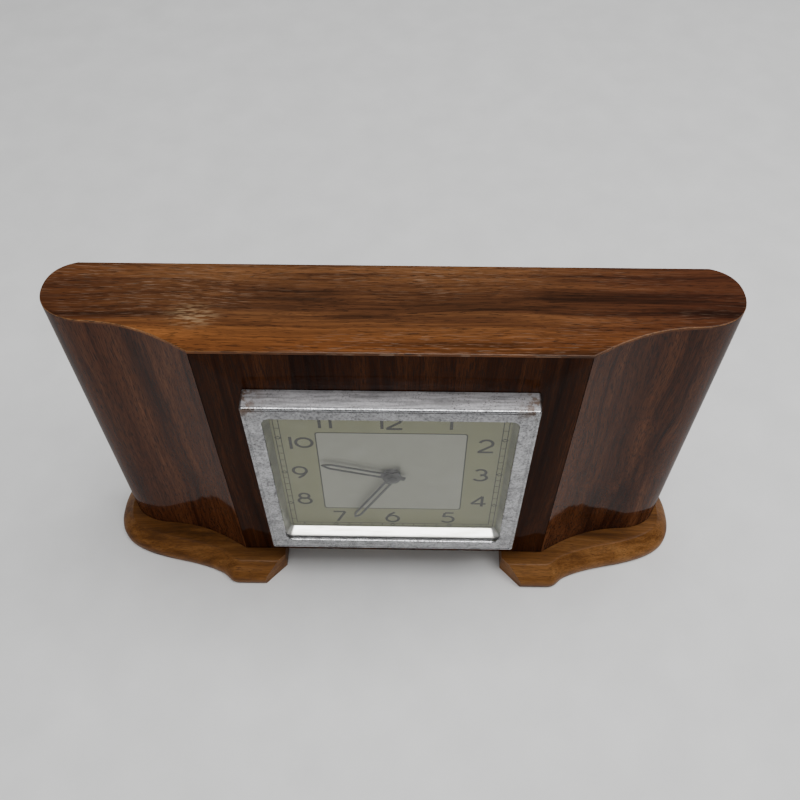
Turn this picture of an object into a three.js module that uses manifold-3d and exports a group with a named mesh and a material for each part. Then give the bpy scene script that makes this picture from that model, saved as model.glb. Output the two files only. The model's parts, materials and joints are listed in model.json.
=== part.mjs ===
// A mantel clock: veneered case on two wooden feet, square chromed bezel, and a spring-driven
// balance-wheel movement that is wound and set from the back.
// Millimetres, +Z up, front towards -Y. The origin is on the floor under the middle of the clock.
import * as THREE from 'three';
import { mergeVertices } from 'three/addons/utils/BufferGeometryUtils.js';
import Module from 'manifold-3d';

const wasm = await Module();
wasm.setup();

// ---------- driving dimensions ----------
const GAP = 0.3;
const FOOT_HEIGHT = 12;
const FOOT_FRONT = -14;
const FOOT_INNER = 55;
const FOOT_TOE = { x: 65, y: -3.2 };
const CASE_DEPTH = 45;
const CASE_TOP = 171.5;
const CASE_BOTTOM = FOOT_HEIGHT + GAP;
const PANEL_HALF = 75;
const PANEL_THICKNESS = 6;
const SHELL_THICKNESS = 5;
const VENEER = 1.2;
const BOARD = 8;
const BATTEN = 12;
const BACK_HALF = 120;
const BACK_THICKNESS = 4.7;
const BACK_OPENING = 46.5;
const BACK_SCREW = { x: 113, top: 160, bottom: 23, length: 10, head: 3.2 };
const FOOT_SCREWS = [72, 122];
const FOOT_SCREW = { y: 24, seat: 1.6, length: 14, head: 3.4 };
const COUNTERBORE = { radius: 4.2, depth: 4 };
const SHANK = 1.6;
const PILOT = 2;
const DIAL_Z = 90.75;
const BEZEL_HALF = 58;
const BEZEL_FRONT = -9.5;
const BEZEL_WALL = 1.2;
const BEZEL_OPENING = 50.5;
const SHEET = 0.8;
const GLASS = { half: 55.5, front: -8.3, back: -6.8 };
const DIAL = { half: 55.5, front: -2.1, back: -1.3, hole: 3.6 };
const DIAL_FOOT = { x: 30, z: 24, radius: 1.2 };
const APERTURE = 45.5;
const HOUR_ANGLE = 286;
const MINUTE_ANGLE = 206;
const MESH_DEPTH = 0.35;

// planes of the movement, as distances behind the face of the front panel
const CAN = { flange: 52, outer: 44.5, inner: 43.7, front: 6.3, back: 33.3 };
const PLATE = { radius: 43.4, front: 7.4, frontBack: 8.8, back: 27, backBack: 28.4 };
const KEY = { front: 33.8, shoulder: 36.5, back: 44.6 };

const KNOB = { front: 34, shoulder: 37.4, rim: 42, back: 43, radius: 6.5, ribs: 18 };
const BARREL = { inner: 14.5, outer: 15.3, back: 22.5 };
const SPRING = { inner: 4.2, outer: 13.2, front: 11.4, back: 22.1 };
const HUB = { radius: 3.6, bore: 1.9 };
const ARBOR = 1.6;
const BALANCE = { radius: 9, front: 12.8, back: 15 };
const HAIRSPRING = { inner: 1.5, outer: 5.6, front: 21, back: 21.8 };
const PALLET = { front: 17.9, back: 18.9, width: 1.6, spread: 52 };
const REGULATOR = { front: 28.9, back: 29.7, tab: 35.4, inner: 10.6, outer: 11.8, swing: 28 };
const CLICK = { radius: 2.4, bore: 1.1 };

// gears: teeth, tip radius, tooth height, and the planes of the two faces
const GREAT = { teeth: 36, tip: 18.3, height: 1.5, front: 9.4, back: 10.8 };
const CENTRE_PINION = { teeth: 6, tip: 3.4, height: 1.4, front: 9.2, back: 11.4 };
const CENTRE = { teeth: 48, tip: 15.2, height: 1.1, front: 24.3, back: 25.3 };
const THIRD_PINION = { teeth: 6, tip: 2.4, height: 0.9, front: 23.5, back: 26.1 };
const THIRD = { teeth: 45, tip: 14.2, height: 1.1, front: 20, back: 21 };
const FOURTH_PINION = { teeth: 6, tip: 2, height: 0.8, front: 19.4, back: 21.6 };
const FOURTH = { teeth: 36, tip: 12.2, height: 1, front: 14.5, back: 15.5 };
const ESCAPE_PINION = { teeth: 7, tip: 1.8, height: 0.7, front: 13.8, back: 16.2 };
const ESCAPE = { teeth: 15, tip: 8, height: 2, front: 18, back: 18.8 };
const CANNON = { teeth: 12, tip: 3.4, height: 1, front: 4.6, back: 6.6 };
const MINUTE = { teeth: 36, tip: 10.45, height: 1, front: 5, back: 6.2 };
const MINUTE_PINION = { teeth: 10, tip: 2.7, height: 0.9, front: 1.8, back: 5 };
const HOUR = { teeth: 40, tip: 11.15, height: 1, front: 2.2, back: 3.2 };
const RATCHET = { teeth: 20, tip: 8.5, height: 1.4, front: 28.9, back: 30.1 };

// ---------- axes of the train, as (x, z) from the hand centre ----------
const polar = (radius, degrees) => {
  const angle = THREE.MathUtils.degToRad(degrees);
  return new THREE.Vector2(radius * Math.cos(angle), radius * Math.sin(angle));
};
const reach = (a, b) => a.tip + b.tip - MESH_DEPTH;
const AXIS = { centre: new THREE.Vector2(0, 0) };
AXIS.barrel = polar(reach(GREAT, CENTRE_PINION), -90);
AXIS.third = polar(reach(CENTRE, THIRD_PINION), 135);
AXIS.fourth = polar(reach(THIRD, FOURTH_PINION), 20).add(AXIS.third);
AXIS.escape = polar(FOURTH.tip + ESCAPE_PINION.tip + GAP, -10).add(AXIS.fourth);
AXIS.pallet = new THREE.Vector2(20.5, 4.2);
AXIS.balance = new THREE.Vector2(24, -7.5);
AXIS.minute = polar(reach(MINUTE, CANNON), 180);
AXIS.click = new THREE.Vector2(-14.5, -15);

// ---------- materials ----------
const finish = (color, roughness, metalness, extra = {}) =>
  new THREE.MeshStandardMaterial({ color, roughness, metalness, ...extra });
const walnut = finish(0x4a2415, 0.25, 0);
const footWalnut = finish(0x8c5526, 0.45, 0);
const plainWood = finish(0xa07a4e, 0.7, 0);
const chrome = finish(0xc8c8c8, 0.2, 1);
const brass = finish(0xb5974f, 0.35, 1);
const steel = finish(0x8d9095, 0.35, 1);
const blackSteel = finish(0x34353a, 0.4, 0.6);
const dialPaint = finish(0xc9c7a6, 0.6, 0);
const glassClear = finish(0xf2f6f4, 0.05, 0, { transparent: true, opacity: 0.3 });

// ---------- solids ----------
function closed(geometry) {
  const bare = geometry.clone();
  bare.deleteAttribute('normal');
  bare.deleteAttribute('uv');
  const merged = mergeVertices(bare, 1e-4);
  const index = merged.index.array;
  const kept = [];
  for (let i = 0; i < index.length; i += 3) {
    const [a, b, c] = [index[i], index[i + 1], index[i + 2]];
    if (a !== b && b !== c && c !== a) kept.push(a, b, c);
  }
  merged.setIndex(signedVolume(merged, kept) < 0 ? kept.reverse() : kept);
  return merged;
}

function signedVolume(geometry, index) {
  const at = (i) => new THREE.Vector3().fromBufferAttribute(geometry.attributes.position, i);
  let sum = 0;
  for (let i = 0; i < index.length; i += 3) {
    sum += at(index[i]).dot(at(index[i + 1]).cross(at(index[i + 2])));
  }
  return sum / 6;
}

function toManifold(geometry) {
  const body = closed(geometry);
  return new wasm.Manifold(new wasm.Mesh({
    numProp: 3,
    vertProperties: new Float32Array(body.attributes.position.array),
    triVerts: new Uint32Array(body.index.array),
  }));
}

function toGeometry(manifold) {
  const mesh = manifold.getMesh();
  const geometry = new THREE.BufferGeometry();
  geometry.setAttribute('position', new THREE.BufferAttribute(mesh.vertProperties, 3));
  geometry.setIndex(Array.from(mesh.triVerts));
  return geometry;
}

const joined = (...parts) =>
  toGeometry(parts.map(toManifold).reduce((whole, part) => whole.add(part)));
const cutFrom = (body, ...tools) =>
  toGeometry(tools.map(toManifold).reduce((whole, tool) => whole.subtract(tool), toManifold(body)));

// A flat shape in the (x, z) plane, given thickness between two distances behind the panel face.
function plate(shape, front, back) {
  const geometry = new THREE.ExtrudeGeometry(shape, { depth: back - front, bevelEnabled: false });
  geometry.rotateX(Math.PI / 2);
  geometry.translate(0, back, 0);
  return geometry;
}

// A flat shape in the (x, y) plane between two heights.
function slab(shape, bottom, top) {
  const geometry = new THREE.ExtrudeGeometry(shape, { depth: top - bottom, bevelEnabled: false });
  geometry.translate(0, 0, bottom);
  return geometry;
}

// A turned piece about the y axis from (radius, y) pairs.
function turned(profile, segments = 24) {
  return closed(new THREE.LatheGeometry(profile.map(([r, y]) => new THREE.Vector2(r, y)), segments));
}

const rod = (radius, front, back, segments = 12) =>
  turned([[0, front], [radius, front], [radius, back], [0, back]], segments);

const tube = (inner, outer, front, back, segments = 16) =>
  turned([[inner, front], [outer, front], [outer, back], [inner, back], [inner, front]], segments);

// Points round an arc, in degrees.
function arc(radius, from, to, steps, x = 0, z = 0) {
  return Array.from({ length: steps + 1 }, (_, k) => {
    const point = polar(radius, from + ((to - from) * k) / steps);
    return new THREE.Vector2(x + point.x, z + point.y);
  });
}

const circle = (radius, x = 0, z = 0, steps = 8) =>
  new THREE.Path(arc(radius, 0, 360 - 360 / steps, steps - 1, x, z));

function disc(radius, holes = [], steps = 16) {
  const shape = new THREE.Shape(arc(radius, 0, 360 - 360 / steps, steps - 1));
  shape.holes.push(...holes);
  return shape;
}

function rectangle(left, bottom, right, top) {
  return new THREE.Shape([[left, bottom], [right, bottom], [right, top], [left, top]]
    .map(([x, y]) => new THREE.Vector2(x, y)));
}

// ---------- outlines ----------
// The right end of the case in plan: arris, concave cove, rounded end, straight back.
function caseEnd(divisions) {
  const path = new THREE.Path();
  path.moveTo(PANEL_HALF, 0);
  path.bezierCurveTo(88, 7.8, 99, 13.6, 116, 14.3);
  path.bezierCurveTo(127, 14.8, 136.4, 19.5, 136.4, 30.5);
  path.bezierCurveTo(136.4, 38, 132.5, 43, 125, CASE_DEPTH);
  return path.getPoints(divisions);
}

// The right foot in plan, before its inner front corner is cut off: straight inside and in front,
// then an S-curve that follows the cove, and a rounded outer end.
function footOutline(divisions) {
  const path = new THREE.Path();
  const back = CASE_DEPTH;
  path.moveTo(FOOT_INNER, back);
  path.lineTo(FOOT_INNER, FOOT_FRONT);
  path.lineTo(78, FOOT_FRONT);
  path.bezierCurveTo(84, FOOT_FRONT, 83, -10.6, 89, -8);
  path.bezierCurveTo(97, -4.4, 105, -2.9, 113.4, -1.2);
  path.bezierCurveTo(124, 1, 133.5, 4.2, 138.8, 9.2);
  path.bezierCurveTo(143, 13.4, 144.7, 18.5, 144.7, 25);
  path.bezierCurveTo(144.7, 33, 143, 40, 139, back);
  return path.getPoints(divisions);
}

// Moves an outline inwards along its corner normals; the outline runs counter-clockwise when
// closed is true, or is an open line whose material lies on its left.
function inset(points, distance, isClosed) {
  const count = points.length;
  const clean = (i) => points[(i + count) % count];
  return points.map((point, i) => {
    const before = isClosed || i > 0 ? clean(i - 1) : null;
    const after = isClosed || i < count - 1 ? clean(i + 1) : null;
    const normals = [];
    if (before) normals.push(leftNormal(before, point));
    if (after) normals.push(leftNormal(point, after));
    const mean = normals.reduce((sum, n) => sum.add(n), new THREE.Vector2()).normalize();
    const stretch = distance / Math.max(mean.dot(leftNormal(before ?? point, before ? point : after)), 0.5);
    return point.clone().addScaledVector(mean, stretch);
  });
}

function leftNormal(a, b) {
  const along = b.clone().sub(a).normalize();
  return new THREE.Vector2(-along.y, along.x);
}

const mirrored = (points) => points.map((p) => new THREE.Vector2(-p.x, p.y)).reverse();

function caseOutline(distance = 0) {
  const end = caseEnd(6);
  const whole = [...end, ...mirrored(end)];
  return distance > 0 ? inset(whole, distance, true) : whole;
}

// A foot whose outline is inset by a different amount at each height, apart from its back and
// inner edges, which stay square.
function stacked(outline, levels) {
  const square = (point, i) => new THREE.Vector2(
    outline[i].x === FOOT_INNER ? FOOT_INNER : point.x,
    outline[i].y === CASE_DEPTH ? CASE_DEPTH : point.y,
  );
  const rings = levels.map(({ height, distance }) => ({
    height,
    points: distance > 0 ? inset(outline, distance, true).map(square) : outline,
  }));
  const count = outline.length;
  const vertices = rings.flatMap((ring) => ring.points.flatMap((p) => [p.x, p.y, ring.height]));
  const index = [];
  for (let level = 0; level + 1 < rings.length; level += 1) {
    for (let i = 0; i < count; i += 1) {
      const a = level * count + i;
      const b = level * count + ((i + 1) % count);
      index.push(a, b, b + count, a, b + count, a + count);
    }
  }
  const last = (rings.length - 1) * count;
  for (const [a, b, c] of THREE.ShapeUtils.triangulateShape(outline, [])) {
    index.push(a, c, b);
    index.push(last + a, last + b, last + c);
  }
  const geometry = new THREE.BufferGeometry();
  geometry.setAttribute('position', new THREE.Float32BufferAttribute(vertices, 3));
  geometry.setIndex(index);
  return geometry;
}

// A rounded square in the (x, z) plane, as points.
function squareLoop(half, radius, cornerSteps = 4) {
  const corners = [[1, 1, 0], [-1, 1, 90], [-1, -1, 180], [1, -1, 270]];
  return corners.flatMap(([sx, sz, start]) =>
    Array.from({ length: cornerSteps + 1 }, (_, k) => {
      const offset = polar(radius, start + (90 * k) / cornerSteps);
      return new THREE.Vector2(sx * (half - radius) + offset.x, sz * (half - radius) + offset.y);
    }));
}

// A square frame swept from a closed section of { half, radius, y } corners.
function squareFrame(section) {
  const loops = section.map(({ half, radius }) => squareLoop(half, radius));
  const count = loops[0].length;
  const vertices = loops.flatMap((loop, s) => loop.flatMap((p) => [p.x, section[s].y, p.y]));
  const index = [];
  for (let s = 0; s < loops.length; s += 1) {
    const next = ((s + 1) % loops.length) * count;
    for (let i = 0; i < count; i += 1) {
      const j = (i + 1) % count;
      index.push(s * count + i, s * count + j, next + j, s * count + i, next + j, next + i);
    }
  }
  const geometry = new THREE.BufferGeometry();
  geometry.setAttribute('position', new THREE.Float32BufferAttribute(vertices, 3));
  geometry.setIndex(index);
  return closed(geometry);
}

const squareShape = (half, radius) => new THREE.Shape(squareLoop(half, radius));

// A wheel outline with pointed teeth; phase is the angle of one tooth in degrees, and lean
// shifts each root towards the next tip, which makes ratchet teeth.
function toothed({ teeth, tip, height }, phase, holes = [], lean = 0.5) {
  const pitch = 360 / teeth;
  const points = [];
  for (let i = 0; i < teeth; i += 1) {
    points.push(polar(tip, phase + i * pitch));
    points.push(polar(tip - height, phase + (i + lean) * pitch));
  }
  const shape = new THREE.Shape(points);
  shape.holes.push(...holes);
  return shape;
}

const gearPlate = (gear, phase, holes, lean) =>
  plate(toothed(gear, phase, holes, lean), gear.front, gear.back);

// Crossings cut out of a wheel between its hub and its rim.
function crossings(count, hub, rim, spoke) {
  return Array.from({ length: count }, (_, k) => {
    const start = (k * 360) / count;
    const end = start + 360 / count;
    const margin = (radius) => THREE.MathUtils.radToDeg(spoke / radius);
    return new THREE.Path([
      ...arc(rim, start + margin(rim), end - margin(rim), 24 / count),
      ...arc(hub, end - margin(hub), start + margin(hub), 12 / count),
    ]);
  });
}

// A flat coil of strip.
function coil(inner, outer, turns, thickness, steps) {
  const line = Array.from({ length: turns * steps + 1 }, (_, k) => {
    const share = k / (turns * steps);
    return { radius: inner + (outer - inner) * share, angle: 360 * turns * share };
  });
  const near = line.map(({ radius, angle }) => polar(radius, angle));
  const far = line.map(({ radius, angle }) => polar(radius + thickness, angle));
  return new THREE.Shape([...near, ...far.reverse()]);
}

// ---------- the scene graph ----------
const clock = new THREE.Group();
clock.position.y = -(CASE_DEPTH + FOOT_FRONT) / 2;
const works = new THREE.Group();
works.position.z = DIAL_Z;
clock.add(works);

function add(parent, name, geometry, material, at = [0, 0, 0]) {
  const mesh = new THREE.Mesh(geometry, material);
  mesh.name = name;
  mesh.position.set(...at);
  parent.add(mesh);
  return mesh;
}

const addOnAxis = (name, geometry, material, axis) =>
  add(works, name, geometry, material, [axis.x, 0, axis.y]);

// A countersunk screw whose head is flush with y = 0 and whose point is towards -Y.
function woodScrew(length, head) {
  const profile = [[0, 0], [head, 0], [SHANK, -head * 0.6], [SHANK, -length], [0, -length - 1]];
  return turned(profile, 8);
}

function addCase() {
  const wallTop = CASE_TOP - VENEER - GAP;
  const canScrewHoles = canScrewPlaces().map((at) => circle(1.4, at.x, at.y));
  const front = rectangle(-PANEL_HALF, CASE_BOTTOM - DIAL_Z, PANEL_HALF, wallTop - DIAL_Z);
  front.holes.push(circle(APERTURE, 0, 0, 32), ...canScrewHoles);
  add(works, 'front_panel', plate(front, 0, PANEL_THICKNESS), walnut);

  const outer = caseEnd(8);
  outer[0] = new THREE.Vector2(PANEL_HALF + GAP, 0.15);
  outer.push(new THREE.Vector2(BACK_HALF + GAP, CASE_DEPTH));
  const inner = inset(outer, SHELL_THICKNESS, false);
  inner[0] = new THREE.Vector2(PANEL_HALF + GAP, PANEL_THICKNESS);
  inner[inner.length - 1] = new THREE.Vector2(BACK_HALF + GAP, CASE_DEPTH - SHELL_THICKNESS);
  const section = [...outer, ...inner.reverse()];
  add(clock, 'right_side_shell', slab(new THREE.Shape(section), CASE_BOTTOM, wallTop), walnut);
  add(clock, 'left_side_shell', slab(new THREE.Shape(mirrored(section)), CASE_BOTTOM, wallTop), walnut);
  add(clock, 'top_veneer', slab(new THREE.Shape(caseOutline()), CASE_TOP - VENEER, CASE_TOP), walnut);

  addBoards(wallTop);
  addBack(wallTop);
}

function addBoards(wallTop) {
  const inside = caseEnd(6)
    .filter((p) => p.x > PANEL_HALF + SHELL_THICKNESS)
    .map((p) => p.clone());
  const board = inset(inside, SHELL_THICKNESS + 2 * GAP, false)
    .filter((p) => p.y < CASE_DEPTH - BACK_THICKNESS - 2 * GAP);
  const lip = PANEL_THICKNESS + GAP;
  const back = CASE_DEPTH - BACK_THICKNESS - 2 * GAP;
  const half = [new THREE.Vector2(PANEL_HALF + SHELL_THICKNESS - 2, lip + 1.5), ...board,
    new THREE.Vector2(BACK_HALF - 1, back)];
  const plan = new THREE.Shape([new THREE.Vector2(PANEL_HALF - 3, lip), ...half,
    ...mirrored(half), new THREE.Vector2(-PANEL_HALF + 3, lip)]);
  add(clock, 'top_board', slab(plan, wallTop - BOARD, wallTop), plainWood);
  const pilot = (x) => rod(PILOT, -1, BOARD - 2, 8)
    .rotateX(Math.PI / 2)
    .translate(x, FOOT_SCREW.y, CASE_BOTTOM);
  const floor = cutFrom(
    slab(plan, CASE_BOTTOM, CASE_BOTTOM + BOARD),
    ...FOOT_SCREWS.flatMap((x) => [pilot(x), pilot(-x)]),
  );
  add(clock, 'bottom_board', floor, plainWood);
}

function addBack(wallTop) {
  const front = CASE_DEPTH - BACK_THICKNESS;
  const shape = rectangle(-BACK_HALF, CASE_BOTTOM - DIAL_Z, BACK_HALF, wallTop - DIAL_Z);
  shape.holes.push(circle(BACK_OPENING, 0, 0, 40));
  const screwAt = [];
  for (const x of [-BACK_SCREW.x, BACK_SCREW.x]) {
    for (const z of [BACK_SCREW.bottom, BACK_SCREW.top]) screwAt.push([x, z]);
  }
  const sinkRadius = BACK_SCREW.head + 0.8;
  const sinkProfile = [[0, 1], [sinkRadius, 1], [sinkRadius, -0.2], [PILOT, -2.4], [PILOT, -9], [0, -9]];
  const sink = ([x, z]) => turned(sinkProfile, 8).translate(x, CASE_DEPTH, z - DIAL_Z);
  add(works, 'back_panel', cutFrom(plate(shape, front, CASE_DEPTH), ...screwAt.map(sink)), walnut);
  screwAt.forEach(([x, z], i) => {
    const screw = woodScrew(BACK_SCREW.length, BACK_SCREW.head);
    add(clock, `back_screw_${i + 1}`, screw, steel, [x, CASE_DEPTH - GAP, z]);
  });
  for (const [name, side] of [['left_batten', -1], ['right_batten', 1]]) {
    const bottom = CASE_BOTTOM + BOARD + GAP;
    const top = wallTop - BOARD - GAP;
    const blank = new THREE.BoxGeometry(BATTEN, BATTEN, top - bottom)
      .translate(side * BACK_SCREW.x, front - GAP - BATTEN / 2, (bottom + top) / 2);
    const pilots = [BACK_SCREW.bottom, BACK_SCREW.top].map((z) =>
      rod(PILOT, front - BATTEN + 4, front + 1, 8).translate(side * BACK_SCREW.x, 0, z));
    add(clock, name, cutFrom(blank, ...pilots), plainWood);
  }
}

function addFeet() {
  const levels = [
    { height: 0, distance: 0.8 },
    { height: 0.8, distance: 0 },
    { height: 3.2, distance: 0 },
    { height: 7.6, distance: 1.5 },
    { height: 10.6, distance: 4.4 },
    { height: FOOT_HEIGHT, distance: 7.2 },
  ];
  const blank = stacked(footOutline(5), levels);
  const { radius, depth } = COUNTERBORE;
  const bore = [[0, -1], [radius, -1], [radius, depth], [PILOT, depth], [PILOT, 20], [0, 20]];
  const holes = FOOT_SCREWS.map((x) =>
    turned(bore, 8).rotateX(Math.PI / 2).translate(x, FOOT_SCREW.y, 0));
  const foot = cutFrom(blank, cornerWedge(), ...holes);
  add(clock, 'right_foot', foot, footWalnut);
  add(clock, 'left_foot', closed(foot.clone().scale(-1, 1, 1)), footWalnut);
  [...FOOT_SCREWS, ...FOOT_SCREWS.map((x) => -x)].forEach((x, i) => {
    const geometry = woodScrew(FOOT_SCREW.length, FOOT_SCREW.head);
    const at = [x, FOOT_SCREW.y, FOOT_SCREW.seat];
    const screw = add(clock, `foot_screw_${i + 1}`, geometry, steel, at);
    screw.rotation.x = -Math.PI / 2;
  });
}

// The waste at a foot's inner front corner, sawn off at an angle.
function cornerWedge() {
  const inside = new THREE.Vector2(FOOT_INNER, FOOT_TOE.y);
  const front = new THREE.Vector2(FOOT_TOE.x, FOOT_FRONT);
  const beyond = (a, b) => b.clone().sub(a).multiplyScalar(0.2).add(b);
  const [near, far] = [beyond(front, inside), beyond(inside, front)];
  const wedge = new THREE.Shape([near, new THREE.Vector2(near.x, far.y), far]);
  return slab(wedge, -1, FOOT_HEIGHT + 1);
}

function addDialGroup() {
  const lipBack = BEZEL_FRONT + BEZEL_WALL - 0.1;
  const corner = (half, radius, y) => ({ half, radius, y });
  add(works, 'bezel', squareFrame([
    corner(BEZEL_HALF, 0.8, -GAP),
    corner(BEZEL_HALF, 0.8, BEZEL_FRONT + 0.7),
    corner(BEZEL_HALF - 0.7, 0.8, BEZEL_FRONT),
    corner(BEZEL_OPENING + 0.2, 3.6, BEZEL_FRONT),
    corner(BEZEL_OPENING, 3.5, BEZEL_FRONT + 0.4),
    corner(BEZEL_OPENING, 3.5, lipBack),
    corner(BEZEL_HALF - BEZEL_WALL, 0.6, lipBack),
    corner(BEZEL_HALF - BEZEL_WALL, 0.6, -GAP),
  ]), chrome);
  add(works, 'glass', plate(squareShape(GLASS.half, 1), GLASS.front, GLASS.back), glassClear);
  const rim = GLASS.back + GAP;
  const seat = DIAL.front - GAP;
  add(works, 'reflector_frame', squareFrame([
    corner(BEZEL_OPENING + 0.9, 3.8, rim),
    corner(BEZEL_OPENING + 0.3, 3.4, rim),
    corner(BEZEL_OPENING - 1.4, 2.4, seat),
    corner(DIAL.half, 1, seat),
    corner(DIAL.half, 1, seat - 0.5),
    corner(BEZEL_OPENING - 0.7, 2.8, seat - 0.5),
  ]), chrome);
  const dial = squareShape(DIAL.half, 1);
  dial.holes.push(circle(DIAL.hole, 0, 0, 16));
  add(works, 'dial_plate', plate(dial, DIAL.front, DIAL.back), dialPaint);
  for (const [name, side] of [['dial_foot_left', -1], ['dial_foot_right', 1]]) {
    const post = rod(DIAL_FOOT.radius, DIAL.back + GAP, PLATE.front - GAP, 8);
    add(works, name, post, brass, [side * DIAL_FOOT.x, 0, DIAL_FOOT.z]);
  }
}

// A hand: ring-shaped boss, a blade of two thin bars that close in a point, and a short tail.
function handGeometry({ length, tail, width, boss, bore, front }) {
  const bar = 0.75;
  const thickness = 0.4;
  const half = width / 2;
  const tipStart = length - 2.6 * width;
  const outline = (w, start, point, end) =>
    [[-w, start], [w, start], [w, point], [0, end], [-w, point]].map(([x, z]) => new THREE.Vector2(x, z));
  const blade = new THREE.Shape(outline(half, boss - 1, tipStart, length));
  blade.holes.push(new THREE.Path(outline(half - bar, boss + 1, tipStart - 0.4, length - 2.4)));
  const back = front + thickness;
  const ring = plate(disc(boss, [], 20), front, back);
  const tailBar = plate(rectangle(-half * 0.7, -tail, half * 0.7, -boss + 1), front, back);
  const body = joined(ring, plate(blade, front, back), tailBar);
  return cutFrom(body, rod(bore, front - 1, back + 1, 16));
}

function addHands() {
  const turn = (mesh, degrees) => {
    mesh.rotation.y = THREE.MathUtils.degToRad(degrees);
    return mesh;
  };
  turn(add(works, 'hour_hand', handGeometry({
    length: 31.5, tail: 9, width: 3.6, boss: 4.3, bore: 2.8, front: -4.2,
  }), blackSteel), HOUR_ANGLE);
  turn(add(works, 'minute_hand', handGeometry({
    length: 40, tail: 11, width: 3, boss: 3.6, bore: 2, front: -5.3,
  }), blackSteel), MINUTE_ANGLE);
  const nut = [[0, -6.4], [1.3, -6.4], [2.4, -5.9], [2.4, -5.6], [0, -5.6]];
  add(works, 'hand_nut', turned(nut, 16), blackSteel);
}

function addFrame() {
  const axes = [AXIS.third, AXIS.fourth, AXIS.escape, AXIS.pallet, AXIS.balance];
  const holes = [
    circle(ARBOR),
    circle(HUB.bore, AXIS.barrel.x, AXIS.barrel.y),
    ...axes.map((axis) => circle(0.95, axis.x, axis.y, 6)),
  ];
  const front = plate(disc(PLATE.radius, holes, 32), PLATE.front, PLATE.frontBack);
  add(works, 'movement_front_plate', front, brass);
  const back = plate(disc(PLATE.radius, holes, 32), PLATE.back, PLATE.backBack);
  add(works, 'movement_back_plate', back, brass);
  [45, 135, 225, 315].forEach((angle, i) => {
    const pillar = rod(1.9, PLATE.frontBack + GAP, PLATE.back - GAP, 8);
    addOnAxis(`pillar_${i + 1}`, pillar, brass, polar(38.5, angle));
  });
  addCan();
}

function canScrewPlaces() {
  return [90, 210, 330].map((angle) => polar((CAN.outer + CAN.flange) / 2, angle));
}

function addCan() {
  const flange = CAN.front + SHEET;
  const rear = CAN.back - SHEET;
  const cup = turned([
    [0, rear], [CAN.inner, rear], [CAN.inner, CAN.front], [CAN.flange, CAN.front],
    [CAN.flange, flange], [CAN.outer, flange], [CAN.outer, CAN.back - 1.2],
    [CAN.outer - 1.2, CAN.back], [0, CAN.back],
  ], 32);
  const through = (radius, axis) =>
    rod(radius, rear - 1, CAN.back + 1, 10).translate(axis.x, 0, axis.y);
  const { inner, outer, swing } = REGULATOR;
  const slot = new THREE.Shape([
    ...arc(outer + 0.6, -swing, swing, 6),
    ...arc(inner - 0.8, swing, -swing, 6),
  ]);
  const slotTool = plate(slot, rear - 1, CAN.back + 1).translate(AXIS.balance.x, 0, AXIS.balance.y);
  const screwTools = canScrewPlaces().map((at) =>
    rod(1.5, CAN.front - 1, flange + 1, 8).translate(at.x, 0, at.y));
  add(works, 'movement_cover', cutFrom(
    cup, through(3.2, AXIS.barrel), through(2.4, AXIS.centre), slotTool, ...screwTools,
  ), steel);
  const head = flange + GAP;
  const screw = [[0, head + 1.6], [2.4, head + 1.2], [2.4, head], [1.1, head], [1.1, 1.5], [0, 1]];
  canScrewPlaces().forEach((at, i) => {
    addOnAxis(`cover_screw_${i + 1}`, turned(screw, 8), steel, at);
  });
}

// Lies on the line from one axis to the next, so a tooth there meets a gap of the other wheel.
const facing = (from, to) => THREE.MathUtils.radToDeg(Math.atan2(to.y - from.y, to.x - from.x));
const gapFacing = (gear, from, to) => facing(from, to) + 180 / gear.teeth;

function addCentre() {
  const { centre, barrel, third, minute } = AXIS;
  const pinion = gearPlate(CENTRE_PINION, gapFacing(CENTRE_PINION, centre, barrel));
  add(works, 'centre_arbor', joined(rod(1, -5.5, 36.4), pinion), steel);
  const spokes = [circle(1.25, 0, 0, 12), ...crossings(4, 4, 12, 1.1)];
  add(works, 'centre_wheel', gearPlate(CENTRE, facing(centre, third), spokes), brass);
  add(works, 'cannon_pinion', joined(
    tube(1.2, 1.8, -5.2, CANNON.back),
    gearPlate(CANNON, gapFacing(CANNON, centre, minute), [circle(1.4)]),
  ), steel);
  add(works, 'hour_wheel', joined(
    tube(2, 2.6, -4.1, HOUR.back),
    gearPlate(HOUR, gapFacing(HOUR, centre, minute), [circle(2.3, 0, 0, 12)]),
  ), brass);
  addOnAxis('minute_wheel', joined(
    gearPlate(MINUTE, facing(minute, centre), [circle(1.3)]),
    gearPlate(MINUTE_PINION, facing(minute, centre), [circle(1.3)]),
  ), brass, minute);
  addOnAxis('minute_wheel_stud', rod(0.9, 1.2, PLATE.front - GAP, 8), steel, minute);
  add(works, 'setting_knob', knobGeometry(), brass);
}

// The knob that sets the hands: a bored stem, a ribbed rim and a domed end.
function knobGeometry() {
  const { front, shoulder, rim, back, radius, ribs } = KNOB;
  const ribbed = new THREE.Shape(Array.from({ length: 2 * ribs }, (_, k) =>
    polar(k % 2 ? radius : radius - 0.5, (k * 180) / ribs)));
  const stem = [
    [1.3, front], [2.8, front], [3.2, shoulder + 0.1], [0, shoulder + 0.1],
    [0, 36.8], [1.3, 36.8], [1.3, front],
  ];
  const dome = [[0, rim - 0.1], [radius - 0.7, rim - 0.1], [radius - 1.7, back], [0, back]];
  return joined(plate(ribbed, shoulder, rim), turned(stem, 12), turned(dome, 16));
}

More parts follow.
